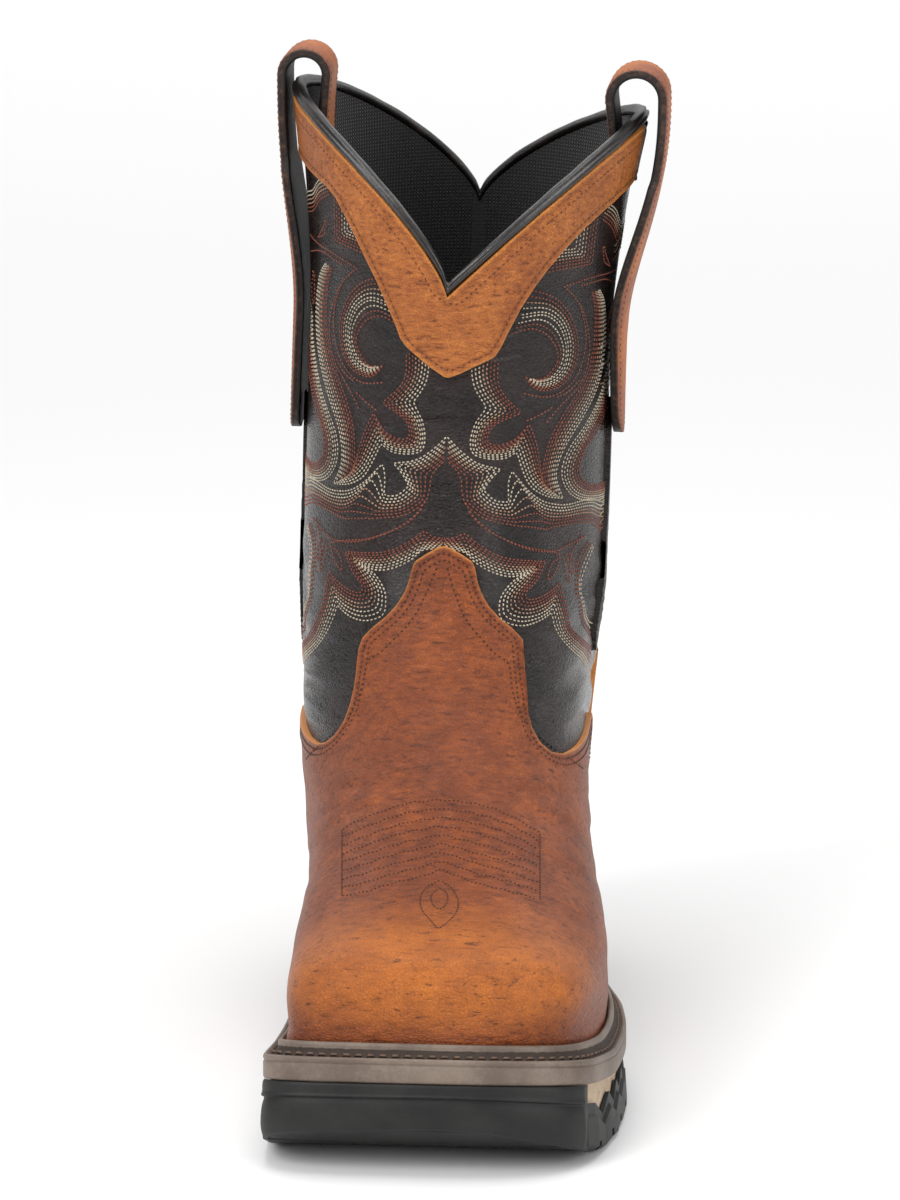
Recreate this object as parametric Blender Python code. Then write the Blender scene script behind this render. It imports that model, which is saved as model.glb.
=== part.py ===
"""A western work boot for the left foot: square toe, stitched shaft, two pull straps and a lugged sole.

Metres, +Z up. The toe points to -Y and the outer side of the foot is +X. The origin is on the floor,
half way along the sole. Every upper piece is read from one surface, upper_point.
"""

import math
from collections import namedtuple

import bmesh
import bpy
import numpy as np
from mathutils import Vector
from mathutils.bvhtree import BVHTree

# The sizes below are measured from a foot line that stands this far off the middle of the whole boot
FRAME_SHIFT = 0.001766

# Driving sizes of the sole
SOLE_LENGTH = 0.312
SOLE_WIDTH = 0.1145
WELT_WIDTH = 0.0088
WELT_THICKNESS = 0.0113
WELT_LIP = 0.0030
WELT_GROOVE = 0.0042
WELT_RIB = 0.0026
TOE_CAP_INNER = 0.022
TOE_CAP_OUTER = 0.038
TOE_SQUARE_INNER = 4.2
TOE_SQUARE_OUTER = 2.7
HEEL_CAP = 0.034
SEAT_HEIGHT = 0.047
FOREPART_RUBBER = 0.0105
HEEL_RUBBER = 0.023
SHANK_RUBBER = 0.007
SHANK_LIFT = 0.012
TOE_LIFT = 0.0155
RUBBER_WALL = 0.0024
BUMPER_DEPTH = 0.0065
HEEL_BREAST = 0.226
LUG_DEPTH = 0.0048
GROOVE_WIDTH = 0.0048
LUG_PITCH = 0.0165
TOOTH_PITCH = 0.0165
TOOTH_HEIGHT = 0.0062

# Driving sizes of the upper
BALL_WIDTH = 0.1020
INSTEP_RISE = 0.100
SHAFT_WIDTH = 0.1050
SHAFT_DEPTH = 0.1260
SHAFT_FRONT = 0.1720
COLLAR_WIDTH = 0.1200
COLLAR_HEIGHT = 0.3180
FRONT_DIP = 0.0570
BACK_DIP = 0.0437
LEVEL_HEIGHT = COLLAR_HEIGHT * 0.7547
SHAFT_LEAN = 0.0072
PEAK_SLOPE = 0.080
WALL = 0.0024
OVERLAY = 0.0016
GAP = 0.0003
INSOLE_THICKNESS = 0.0040
SEAM_WIDTH = 0.0070
VAMP_REAR = 0.232
VAMP_SHIFT = 0.0036
VAMP_REAR_SLOPE = 0.25
COUNTER_SLOPE = 0.55
COUNTER_HEIGHT = 0.112
COUNTER_BACK_HEIGHT = 0.124
BINDING_WIDTH = 0.0050
BINDING_HEIGHT = 0.0042
STRAP_WIDTH = 0.0280
STRAP_THICKNESS = 0.0036
STRAP_LEAF_WIDTH = 0.0400
STRAP_LOW_END = COLLAR_HEIGHT - 0.1145
STRAP_TOP = COLLAR_HEIGHT + 0.0175
STRAP_INNER_END = COLLAR_HEIGHT - 0.0380
STRAP_BOW_INNER = 0.0004
STRAP_BOW_OUTER = 0.0032
STRAP_STAND_IN = 0.0030

TOE_Y = -SOLE_LENGTH / 2
SIDES = (("medial", -1), ("lateral", 1))

# Half widths and centre line of the sole, as shares of SOLE_WIDTH, along the share of SOLE_LENGTH
SolePlan = namedtuple("SolePlan", "along centre medial lateral")
SOLE_PLAN = (
    SolePlan(0.00, 0.050, 0.470, 0.465),
    SolePlan(0.09, 0.048, 0.480, 0.478),
    SolePlan(0.18, 0.061, 0.492, 0.502),
    SolePlan(0.27, 0.070, 0.497, 0.500),
    SolePlan(0.36, 0.066, 0.472, 0.480),
    SolePlan(0.45, 0.050, 0.402, 0.432),
    SolePlan(0.55, 0.028, 0.352, 0.386),
    SolePlan(0.65, 0.004, 0.340, 0.356),
    SolePlan(0.76, -0.024, 0.348, 0.348),
    SolePlan(0.88, -0.040, 0.346, 0.344),
    SolePlan(1.00, -0.042, 0.330, 0.326),
)

# Height of the upper's lower edge above the floor, as a share of SEAT_HEIGHT
SeatLine = namedtuple("SeatLine", "along height")
SEAT_LINE = (
    SeatLine(0.00, 0.912),
    SeatLine(0.09, 0.785),
    SeatLine(0.18, 0.700),
    SeatLine(0.28, 0.672),
    SeatLine(0.40, 0.680),
    SeatLine(0.50, 0.745),
    SeatLine(0.60, 0.850),
    SeatLine(0.70, 0.935),
    SeatLine(0.80, 0.985),
    SeatLine(1.00, 1.000),
)

# Sections of the upper. Each runs from the ridge, past the widest point, to the sole or the back line.
# top and end are shares of SOLE_LENGTH, rise is a share of INSTEP_RISE above the seat,
# ridge, medial and lateral are shares of BALL_WIDTH from x = 0, widest is the share of the way from ridge to end.
Section = namedtuple(
    "Section", "top rise ridge end widest medial lateral inner_round outer_round side_round turn"
)
FOOT_SECTIONS = (
    Section(0.0270, 0.00, 0.060, 0.120, 0.76, -0.388, 0.492, 4.20, 3.00, 2.00, 62),
    Section(0.0255, 0.10, 0.060, 0.136, 0.70, -0.392, 0.500, 4.00, 3.00, 2.00, 62),
    Section(0.0290, 0.20, 0.059, 0.155, 0.64, -0.396, 0.514, 3.80, 3.00, 2.20, 62),
    Section(0.0440, 0.28, 0.057, 0.180, 0.60, -0.402, 0.532, 3.40, 2.90, 2.30, 62),
    Section(0.0800, 0.345, 0.054, 0.212, 0.58, -0.410, 0.550, 3.00, 2.70, 2.40, 62),
    Section(0.1440, 0.41, 0.048, 0.253, 0.57, -0.420, 0.562, 2.70, 2.50, 2.50, 62),
    Section(0.2240, 0.50, 0.036, 0.302, 0.58, -0.428, 0.560, 2.50, 2.40, 2.50, 62),
    Section(0.3080, 0.61, 0.020, 0.356, 0.60, -0.428, 0.540, 2.40, 2.30, 2.40, 62),
    Section(0.3840, 0.75, 0.000, 0.417, 0.61, -0.432, 0.505, 2.30, 2.20, 2.30, 62),
    Section(0.4490, 0.91, -0.024, 0.487, 0.59, -0.452, 0.468, 2.20, 2.10, 2.20, 62),
    Section(0.4970, 1.08, -0.042, 0.577, 0.55, -0.486, 0.444, 2.10, 2.05, 2.10, 62),
    Section(0.5290, 1.26, -0.054, 0.690, 0.50, -0.524, 0.428, 2.05, 2.00, 2.05, 64),
    Section(0.5450, 1.44, -0.060, 0.815, 0.47, -0.550, 0.424, 2.00, 2.00, 2.00, 68),
    Section(0.5500, 1.56, -0.064, 0.900, 0.46, -0.562, 0.426, 2.00, 2.00, 2.00, 76),
    Section(0.5512, 1.64, -0.066, 0.950, 0.46, -0.568, 0.428, 2.00, 2.00, 2.00, 84),
    Section(0.5513, 1.69, -0.067, 0.9705, 0.46, -0.570, 0.430, 2.00, 2.00, 2.00, 90),
)

# Sections of the shaft up to LEVEL_HEIGHT: heights of the front and back lines as shares of the way there from
# the last foot section, and how far the back line stands behind the shaft's own back, as a share of HEEL_CAP
Rising = namedtuple("Rising", "front back behind")
SHAFT_SECTIONS = (
    Rising(0.176, 0.154, 0.290),
    Rising(0.391, 0.316, 0.200),
    Rising(0.585, 0.490, 0.060),
    Rising(0.785, 0.739, 0.000),
    Rising(1.000, 1.000, 0.000),
)
COLLAR_STEPS = 4
ROUND_STEPS = 18
CAP_SHARE = 0.66
FEATHER_ROWS = 4.0

# The vamp's upper edge: distance round the front of the boot from the centre line, as a share of half
# BALL_WIDTH, and height above the floor as a share of COLLAR_HEIGHT
VampEdge = namedtuple("VampEdge", "across height")
VAMP_EDGE = (
    VampEdge(0.000, 0.546),
    VampEdge(0.195, 0.530),
    VampEdge(0.230, 0.503),
    VampEdge(0.360, 0.473),
    VampEdge(0.525, 0.448),
    VampEdge(0.545, 0.400),
    VampEdge(0.600, 0.370),
    VampEdge(0.700, 0.345),
    VampEdge(0.790, 0.335),
    VampEdge(0.900, 0.332),
    VampEdge(1.000, 0.334),
    VampEdge(3.000, 0.334),
)

# Depth of the collar bands below the collar's own edge, as a share of COLLAR_HEIGHT, at an angle from the
# centre line in degrees
BandEdge = namedtuple("BandEdge", "turn below")
FRONT_BAND = (
    BandEdge(0.0, 0.0880),
    BandEdge(16.0, 0.1090),
    BandEdge(19.0, 0.0920),
    BandEdge(25.0, 0.0750),
    BandEdge(40.0, 0.0690),
    BandEdge(70.0, 0.0670),
    BandEdge(82.0, 0.0670),
)
BACK_BAND = (
    BandEdge(0.0, 0.0850),
    BandEdge(16.0, 0.1000),
    BandEdge(19.0, 0.0860),
    BandEdge(25.0, 0.0730),
    BandEdge(40.0, 0.0690),
    BandEdge(70.0, 0.0670),
    BandEdge(82.0, 0.0670),
)

# Each piece's colour, roughness and metallic value
FINISHES = {
    "upper": ((0.022, 0.014, 0.012), 0.35),
    "vamp": ((0.33, 0.105, 0.032), 0.45),
    "counter": ((0.33, 0.105, 0.032), 0.45),
    "collar_front": ((0.42, 0.14, 0.035), 0.5),
    "collar_back": ((0.42, 0.14, 0.035), 0.5),
    "collar_binding": ((0.03, 0.022, 0.02), 0.4),
    "side_seam": ((0.02, 0.014, 0.012), 0.4),
    "pull_strap": ((0.36, 0.115, 0.035), 0.5),
    "welt": ((0.13, 0.095, 0.072), 0.55),
    "midsole": ((0.42, 0.33, 0.22), 0.6),
    "outsole": ((0.028, 0.030, 0.029), 0.6),
    "insole": ((0.03, 0.028, 0.027), 0.8),
}


def clear_scene():
    for obj in list(bpy.data.objects):
        bpy.data.objects.remove(obj, do_unlink=True)


def table_value(rows, at, column, key=0):
    """The column's value at a key, on a smooth curve through the rows that never overshoots."""
    keys = [row[key] for row in rows]
    values = [getattr(row, column) for row in rows]
    at = min(max(at, keys[0]), keys[-1])
    spot = 0
    while spot < len(keys) - 2 and at > keys[spot + 1]:
        spot += 1
    slopes = [(values[i + 1] - values[i]) / (keys[i + 1] - keys[i]) for i in range(len(keys) - 1)]

    def tangent(i):
        if i == 0 or i == len(keys) - 1:
            return slopes[max(i - 1, 0)]
        before, after = slopes[i - 1], slopes[i]
        return 0.0 if before * after <= 0 else 2 * before * after / (before + after)

    width = keys[spot + 1] - keys[spot]
    t = (at - keys[spot]) / width
    low, high = values[spot], values[spot + 1]
    return (
        low * (1 + 2 * t) * (1 - t) ** 2
        + high * t * t * (3 - 2 * t)
        + width * (tangent(spot) * t * (1 - t) ** 2 - tangent(spot + 1) * t * t * (1 - t))
    )


def line_value(rows, at, column):
    """The column's value at a key, on straight lines through the rows."""
    return float(np.interp(at, [row[0] for row in rows], [getattr(row, column) for row in rows]))


def seat_height(y):
    """Height of the plane that the upper stands on, at a place along the sole."""
    return SEAT_HEIGHT * table_value(SEAT_LINE, (y - TOE_Y) / SOLE_LENGTH, "height")


def cap_share(distance, cap, power):
    """How much of its half width the sole has at a distance from its end."""
    left = min(1.0, max(0.0, 1 - distance / cap))
    return (1 - left**power) ** (1 / power)


def sole_edge(side, distance, inset=0.0):
    """A point of the sole's outline, drawn in by inset, at a distance along from the toe tip."""
    along = inset + distance * (1 - 2 * inset / SOLE_LENGTH)
    share = along / SOLE_LENGTH
    half = SOLE_WIDTH * table_value(SOLE_PLAN, share, "medial" if side < 0 else "lateral") - inset
    toe_cap, square = (TOE_CAP_INNER, TOE_SQUARE_INNER) if side < 0 else (TOE_CAP_OUTER, TOE_SQUARE_OUTER)
    half *= cap_share(along - inset, toe_cap, square)
    half *= cap_share(SOLE_LENGTH - inset - along, HEEL_CAP, 2.2)
    centre = SOLE_WIDTH * table_value(SOLE_PLAN, share, "centre")
    return centre + side * half, TOE_Y + along


def edge_x(side, station, inset):
    """Where the drawn-in outline crosses a station along the sole."""
    distance = (station - inset) / (1 - 2 * inset / SOLE_LENGTH)
    return sole_edge(side, min(SOLE_LENGTH, max(0.0, distance)), inset)[0]


def sole_stations():
    """Distances from the toe tip at which the sole pieces have a section."""
    toe = [TOE_CAP_OUTER * (1 - math.cos(math.radians(a))) for a in (12, 20, 29, 39, 50, 62, 76)]
    heel = [SOLE_LENGTH - HEEL_CAP * (1 - math.cos(math.radians(a))) for a in (88, 72, 57, 43, 29, 15)]
    first, last = TOE_CAP_OUTER, SOLE_LENGTH - HEEL_CAP
    count = 2 * round((last - first) / TOOTH_PITCH)
    middle = [first + (last - first) * i / count for i in range(count)]
    return toe + middle + heel


def floor_line(distance):
    """Height of the tread above the floor at a distance from the toe tip."""
    toe_run = 0.135 * SOLE_LENGTH
    arch_run = 0.045 * SOLE_LENGTH
    arch_start = 0.470 * SOLE_LENGTH
    if distance < toe_run:
        return TOE_LIFT * (1 - distance / toe_run) ** 1.9
    if distance < arch_start or distance >= HEEL_BREAST:
        return 0.0
    share = min(1.0, (distance - arch_start) / arch_run)
    return SHANK_LIFT * share * share * (3 - 2 * share)


def rubber_top(distance):
    """Height of the outsole's inner floor, on which the midsole lies."""
    share = min(1.0, max(0.0, (distance - 0.44 * SOLE_LENGTH) / (0.30 * SOLE_LENGTH)))
    share = share * share * (3 - 2 * share)
    toe_share = max(0.0, 1 - distance / (0.16 * SOLE_LENGTH)) ** 2
    level = FOREPART_RUBBER + (HEEL_RUBBER - FOREPART_RUBBER) * share
    shank = SHANK_RUBBER + floor_line(distance) if distance < HEEL_BREAST else 0.0
    return max(level, shank) + 0.0085 * toe_share


def welt_bottom(distance):
    return seat_height(TOE_Y + distance) - WELT_THICKNESS


def wall_top(distance, side):
    """Height of the outsole's side wall: the toe bumper, then a row of teeth up the midsole."""
    low = rubber_top(distance) + 0.0008
    full = welt_bottom(distance) - GAP
    bumper_end = 0.0095 if side < 0 else 0.0150
    fade = min(1.0, max(0.0, (distance - bumper_end) / 0.008))
    phase = abs(((distance - TOE_CAP_OUTER) / TOOTH_PITCH) % 1.0 - 0.5) * 2
    tooth = low + TOOTH_HEIGHT * (1 - phase)
    return min(full, full + (tooth - full) * fade)


def read_sections():
    """All sections of the upper as rows of real sizes, foot first and then the shaft."""
    rows = []
    for row in FOOT_SECTIONS:
        top_y = TOE_Y + row.top * SOLE_LENGTH
        end_y = TOE_Y + row.end * SOLE_LENGTH
        top_z = seat_height(top_y) + row.rise * INSTEP_RISE
        reach = [edge_x(side, row.end * SOLE_LENGTH, WELT_WIDTH) for _, side in SIDES]
        if row is FOOT_SECTIONS[-1]:
            reach = [SOLE_WIDTH * table_value(SOLE_PLAN, row.end, "centre")] * 2
        rows.append([top_y, top_z, row.ridge * BALL_WIDTH, end_y, seat_height(end_y), row.widest,
                     row.medial * BALL_WIDTH, row.lateral * BALL_WIDTH, reach[0], reach[1],
                     row.inner_round, row.outer_round, row.side_round, row.turn])
    ankle = FOOT_SECTIONS[-1].ridge * BALL_WIDTH
    front_z, back_z = rows[-1][1], rows[-1][4]
    front_y = TOE_Y + SHAFT_FRONT
    back_y = front_y + SHAFT_DEPTH
    for i, row in enumerate(SHAFT_SECTIONS):
        share = (i + 1) / len(SHAFT_SECTIONS)
        centre = ankle + SHAFT_LEAN * 0.5 * share
        half = SHAFT_WIDTH / 2
        front = front_z + row.front * (LEVEL_HEIGHT - front_z)
        back = back_z + row.back * (LEVEL_HEIGHT - back_z)
        rows.append([front_y, front, centre, back_y + row.behind * HEEL_CAP, back, 0.46 + 0.04 * share,
                     centre - half, centre + half, centre, centre, 2.0, 2.0, 2.0, 90])
    return np.array(rows)


SECTIONS = read_sections()
LEVEL_ROW = len(SECTIONS) - 1
TOP_ROW = LEVEL_ROW + COLLAR_STEPS


def section_at(row):
    """The section at a fractional row, on a curve through its neighbours."""
    row = min(max(row, 0.0), float(LEVEL_ROW))
    i = min(int(row), LEVEL_ROW - 1)
    t = row - i
    before, here = SECTIONS[max(i - 1, 0)], SECTIONS[i]
    after, beyond = SECTIONS[i + 1], SECTIONS[min(i + 2, LEVEL_ROW)]
    return 0.5 * (
        2 * here + (after - before) * t
        + (2 * before - 5 * here + 4 * after - beyond) * t**2
        + (3 * here - before - 3 * after + beyond) * t**3
    )


def collar_height(turn):
    """Height of the collar's edge at an angle from the front centre line, from -180 to 180 degrees."""
    dip = FRONT_DIP if abs(turn) < 90 else BACK_DIP
    power = 1.0 if 0 < turn < 90 else 0.72
    return COLLAR_HEIGHT - dip * (1 - math.sin(math.radians(abs(turn))) ** power)


def section_point(row, round_):
    """A point of a foot or shaft section. round_ runs from -1 by the ridge at 0 to 1."""
    values = section_at(row)
    top_y, top_z, ridge, end_y, end_z, widest = values[:6]
    side = 0 if round_ < 0 else 1
    wide, reach, power, side_power, turn = (
        values[6 + side], values[8 + side], values[10 + side], values[12], math.radians(values[13]))
    mid_y = top_y + (end_y - top_y) * widest
    mid_z = top_z + (end_z - top_z) * widest
    share = abs(round_)
    if share <= 0.5:
        angle = share * math.pi
        out, back = math.sin(angle) ** (2 / power), math.cos(angle) ** (2 / power) if share < 0.5 else 0.0
        return np.array([ridge + (wide - ridge) * out, mid_y + (top_y - mid_y) * back, mid_z + (top_z - mid_z) * back])
    angle = (share - 0.5) * 2 * turn
    out = (math.cos(angle) - math.cos(turn)) / (1 - math.cos(turn))
    down = (math.sin(angle) / math.sin(turn)) ** (2 / side_power)
    return np.array([reach + (wide - reach) * out, mid_y + (end_y - mid_y) * down, mid_z + (end_z - mid_z) * down])


def feather_point(round_):
    """A point of the upper's lower edge round the toe, which follows the sole's outline inside the welt."""
    side = -1 if round_ < 0 else 1
    cap, power = (TOE_CAP_INNER, TOE_SQUARE_INNER) if side < 0 else (TOE_CAP_OUTER, TOE_SQUARE_OUTER)
    end = (FOOT_SECTIONS[0].end * SOLE_LENGTH - WELT_WIDTH) / (1 - 2 * WELT_WIDTH / SOLE_LENGTH)
    share = abs(round_)
    if share < CAP_SHARE:
        distance = cap * (1 - math.cos(share / CAP_SHARE * math.pi / 2) ** (2 / power))
    else:
        distance = cap + (end - cap) * (share - CAP_SHARE) / (1 - CAP_SHARE)
    x, y = sole_edge(side, distance, WELT_WIDTH)
    return np.array([x, y, seat_height(y)])


def upper_point(row, round_):
    """A point of the upper's outer face: the foot and shaft sections, and above them the flaring collar."""
    point = section_point(row, round_)
    if row < FEATHER_ROWS:
        point += (feather_point(round_) - section_point(0, round_)) * (1 - row / FEATHER_ROWS) ** 2
        point[2] = max(point[2], seat_height(point[1]))
    if row > LEVEL_ROW:
        share = (row - LEVEL_ROW) / COLLAR_STEPS
        level = LEVEL_HEIGHT
        point[2] = level + (collar_height(180 * round_) - level) * share
        climb = max(0.0, point[2] - level) / (COLLAR_HEIGHT - level)
        centre = SECTIONS[LEVEL_ROW][2]
        flare = 1 + (COLLAR_WIDTH / SHAFT_WIDTH - 1) * climb**1.6
        point[0] = centre + (point[0] - centre) * flare + SHAFT_LEAN * 0.5 * climb
        middle = TOE_Y + SHAFT_FRONT + SHAFT_DEPTH / 2
        point[1] = middle + (point[1] - middle) * (1 + 0.03 * climb)
    tilt = min(1.0, max(0.0, (point[2] - SEAT_HEIGHT) / (LEVEL_HEIGHT - SEAT_HEIGHT)))
    point[2] -= PEAK_SLOPE * (point[0] - SECTIONS[LEVEL_ROW][2]) * tilt**2
    return point


def upper_normal(row, round_):
    """The outward direction at a point of the upper."""
    step = 0.02
    low, high = max(row - step, 0.0), min(row + step, float(TOP_ROW))
    back, ahead = round_ - 0.004, round_ + 0.004
    if round_ > 0.995:
        back, ahead = 0.99, 1.0
    if round_ < -0.995:
        back, ahead = -1.0, -0.99
    up = upper_point(high, round_) - upper_point(low, round_)
    along = upper_point(row, ahead) - upper_point(row, back)
    normal = np.cross(along, up)
    return normal / max(np.linalg.norm(normal), 1e-12)


def row_at(round_, test):
    """The highest row on a round line at which the test still holds."""
    low, high = 0.0, float(TOP_ROW)
    if test(upper_point(high, round_)):
        return high
    for _ in range(26):
        middle = (low + high) / 2
        if test(upper_point(middle, round_)):
            low = middle
        else:
            high = middle
    return low


def new_object(name, mesh, smooth_angle=40):
    obj = bpy.data.objects.new(name, mesh)
    obj.location.x = -FRAME_SHIFT
    PARTS.objects.link(obj)
    mesh.shade_smooth()
    mesh.set_sharp_from_angle(angle=math.radians(smooth_angle))
    kind = name
    for ending in ("_medial", "_lateral"):
        kind = kind.replace(ending, "")
    colour, rough = FINISHES[kind]
    material = bpy.data.materials.get(kind) or bpy.data.materials.new(kind)
    material.use_nodes = True
    shader = material.node_tree.nodes["Principled BSDF"]
    shader.inputs["Base Color"].default_value = (*colour, 1.0)
    shader.inputs["Roughness"].default_value = rough
    mesh.materials.append(material)
    return obj


def grid_mesh(name, rows, closed_rows=False, closed_columns=False):
    """A mesh of quads through rows of points of one length."""
    height, width = len(rows), len(rows[0])
    points = [tuple(p) for row in rows for p in row]
    faces = []
    for i in range(height if closed_columns else height - 1):
        for j in range(width if closed_rows else width - 1):
            below, above = i, (i + 1) % height
            left, right = j, (j + 1) % width
            faces.append((below * width + left, below * width + right, above * width + right, above * width + left))
    mesh = bpy.data.meshes.new(name)
    mesh.from_pydata(points, [], faces)
    return mesh


def outward(mesh):
    """Turns every face of a closed mesh outwards."""
    bm = bmesh.new()
    bm.from_mesh(mesh)
    bmesh.ops.remove_doubles(bm, verts=bm.verts, dist=2e-6)
    bmesh.ops.dissolve_degenerate(bm, edges=bm.edges, dist=1e-6)
    bmesh.ops.recalc_face_normals(bm, faces=bm.faces)
    bm.to_mesh(mesh)
    bm.free()
    return mesh


def slab(name, inner_rows, outer_rows):
    """A closed shell between two grids of the same layout."""
    height, width = len(inner_rows), len(inner_rows[0])
    points = [tuple(p) for rows in (inner_rows, outer_rows) for row in rows for p in row]
    count = height * width
    faces = []
    for i in range(height - 1):
        for j in range(width - 1):
            quad = (i * width + j, i * width + j + 1, (i + 1) * width + j + 1, (i + 1) * width + j)
            faces.append(tuple(reversed(quad)))
            faces.append(tuple(index + count for index in quad))
    rim = [j for j in range(width)]
    rim += [i * width + width - 1 for i in range(1, height)]
    rim += [(height - 1) * width + j for j in range(width - 2, -1, -1)]
    rim += [i * width for i in range(height - 2, 0, -1)]
    for a, b in zip(rim, rim[1:] + rim[:1]):
        faces.append((a, b, b + count, a + count))
    mesh = bpy.data.meshes.new(name)
    mesh.from_pydata(points, [], faces)
    return new_object(name, outward(mesh))


def loft(name, sections, ring=False):
    """A closed solid through sections of one length: capped at both ends, or joined end to end as a ring."""
    mesh = grid_mesh(name, sections, closed_rows=True, closed_columns=ring)
    if not ring:
        bm = bmesh.new()
        bm.from_mesh(mesh)
        bmesh.ops.holes_fill(bm, edges=[e for e in bm.edges if e.is_boundary])
        bm.to_mesh(mesh)
        bm.free()
    return new_object(name, outward(mesh))


def round_lines():
    """The lines round the upper that its grid uses, from the medial end to the lateral end."""
    return [i / ROUND_STEPS for i in range(-ROUND_STEPS, ROUND_STEPS + 1)]


def grid_rows():
    """The rows of the upper's grid."""
    return sorted([float(row) for row in range(TOP_ROW + 1)] + [10.5, 11.5, 12.5])


def skin_offset(row, round_, distance):
    """A point off the upper's outer face. On the sole's plane it moves level, so that it keeps its height."""
    normal = upper_normal(row, round_)
    if abs(round_) >= 1.0 and row >= len(FOOT_SECTIONS) - 1:
        normal = (upper_normal(row, 1.0) + upper_normal(row, -1.0)) * np.array([0, 1, 1])
        normal = normal / np.linalg.norm(normal)
    on_seat = row <= 0.0 or (abs(round_) >= 1.0 and row <= len(FOOT_SECTIONS) - 1)
    if on_seat:
        normal = normal * np.array([1, 1, 0])
        normal = normal / max(np.linalg.norm(normal), 1e-12)
    point = upper_point(row, round_) + normal * distance
    if row < 2 * FEATHER_ROWS:
        point[2] = max(point[2], seat_height(point[1]))
    return point


def grid_faces(height, width):
    """The triangles of a grid, each quad split along the same diagonal."""
    faces = []
    for i in range(height - 1):
        for j in range(width - 1):
            at, above = i * width + j, (i + 1) * width + j
            faces.append((at, at + 1, above + 1))
            faces.append((at, above + 1, above))
    return faces


def build_upper():
    """The hollow upper: lined leather from the sole to the collar, open at both ends."""
    lines = round_lines()
    rows = grid_rows()
    outer = [tuple(skin_offset(row, r, 0.0)) for row in rows for r in lines]
    inner = [tuple(skin_offset(row, r, -WALL)) for row in rows for r in lines]
    height, width = len(rows), len(lines)
    count = height * width
    heel_row = rows.index(len(FOOT_SECTIONS) - 1)
    faces = []
    for face in grid_faces(height, width):
        faces.append(tuple(reversed(face)))
        faces.append(tuple(index + count for index in face))
    rim = [i * width for i in range(heel_row, 0, -1)]
    rim += list(range(width))
    rim += [i * width + width - 1 for i in range(1, heel_row + 1)]
    collar = [(height - 1) * width + j for j in range(width)]
    for a, b in list(zip(rim, rim[1:])) + list(zip(collar, collar[1:])):
        faces.append((a, b, b + count, a + count))
    mesh = bpy.data.meshes.new("upper")
    mesh.from_pydata(inner + outer, [], faces)
    return new_object("upper", outward(mesh))


def crossing(start, end, field):
    """Where the field changes sign between two points, as a share of the way."""
    low, high = 0.0, 1.0
    negative = field(start) < 0
    for _ in range(24):
        middle = (low + high) / 2
        if (field(start + (end - start) * middle) < 0) == negative:
            low = middle
        else:
            high = middle
    return (low + high) / 2


def overlay(name, field, low_row=0, high_row=None, bends=2):
    """A leather overlay cut from the upper's own face: the part where the field is negative."""
    lines = round_lines()
    rows = [row for row in grid_rows() if low_row <= row <= (TOP_ROW if high_row is None else high_row)]
    skin = [skin_offset(row, r, 0.0) for row in rows for r in lines]
    under = [skin_offset(row, r, GAP) for row in rows for r in lines]
    over = [skin_offset(row, r, GAP + OVERLAY) for row in rows for r in lines]
    inside = [field(point) < 0 for point in skin]
    spots, names, polygons = [], {}, []

    def spot(weights, key=None):
        if key is not None and key in names:
            return names[key]
        spots.append(tuple(sum(grid[i] * share for i, share in weights) for grid in (under, over)))
        if key is not None:
            names[key] = len(spots) - 1
        return len(spots) - 1

    def cut(a, b):
        low, high = min(a, b), max(a, b)
        share = crossing(skin[low], skin[high], field)
        share = min(0.97, max(0.03, share))
        return share if a == low else 1 - share

    for face in grid_faces(len(rows), len(lines)):
        kept = [index for index in face if inside[index]]
        if not kept:
            continue
        if len(kept) == 3:
            polygons.append([spot([(i, 1.0)], ("corner", i)) for i in face])
            continue
        lone = [i for i in face if inside[i] == (len(kept) == 1)][0]
        at = face.index(lone)
        left, right = face[(at + 1) % 3], face[(at + 2) % 3]
        first, last = cut(lone, left), cut(lone, right)
        edge = [spot([(lone, 1 - first), (left, first)], ("edge", min(lone, left), max(lone, left)))]
        for bend in range(1, bends + 1):
            share = bend / (bends + 1)
            far = skin[left] * (1 - share) + skin[right] * share
            near = skin[lone]
            here = first + (last - first) * share
            if (field(far) < 0) != inside[lone]:
                found = crossing(near, far, field)
                here = min(max(found, here - 0.35), here + 0.35)
            here = min(0.97, max(0.03, here))
            edge.append(spot([(lone, 1 - here), (left, here * (1 - share)), (right, here * share)]))
        edge.append(spot([(lone, 1 - last), (right, last)], ("edge", min(lone, right), max(lone, right))))
        if inside[lone]:
            polygons.append([spot([(lone, 1.0)], ("corner", lone))] + edge)
        else:
            corners = [spot([(i, 1.0)], ("corner", i)) for i in (left, right)]
            polygons.append(corners + edge[::-1])
    welded, place = {}, []
    for low_point, high_point in spots:
        key = tuple(round(float(c) * 2e6) for c in low_point)
        welded.setdefault(key, len(welded))
        place.append(welded[key])
    points = [None] * (2 * len(welded))
    for index, (low_point, high_point) in zip(place, spots):
        points[index] = tuple(low_point)
        points[index + len(welded)] = tuple(high_point)
    polygons = [[place[i] for i in polygon] for polygon in polygons]
    polygons = [[i for k, i in enumerate(polygon) if i != polygon[k - 1]] for polygon in polygons]
    sides = {(a, b) for polygon in polygons for a, b in zip(polygon, polygon[1:] + polygon[:1])}
    faces = []
    for polygon in polygons:
        faces.append(tuple(reversed(polygon)))
        faces.append(tuple(i + len(welded) for i in polygon))
    for a, b in sides:
        if (b, a) not in sides:
            faces.append((a, b, b + len(welded), a + len(welded)))
    mesh = bpy.data.meshes.new(name)
    mesh.from_pydata(points, [], faces)
    return new_object(name, outward(mesh))


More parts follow.
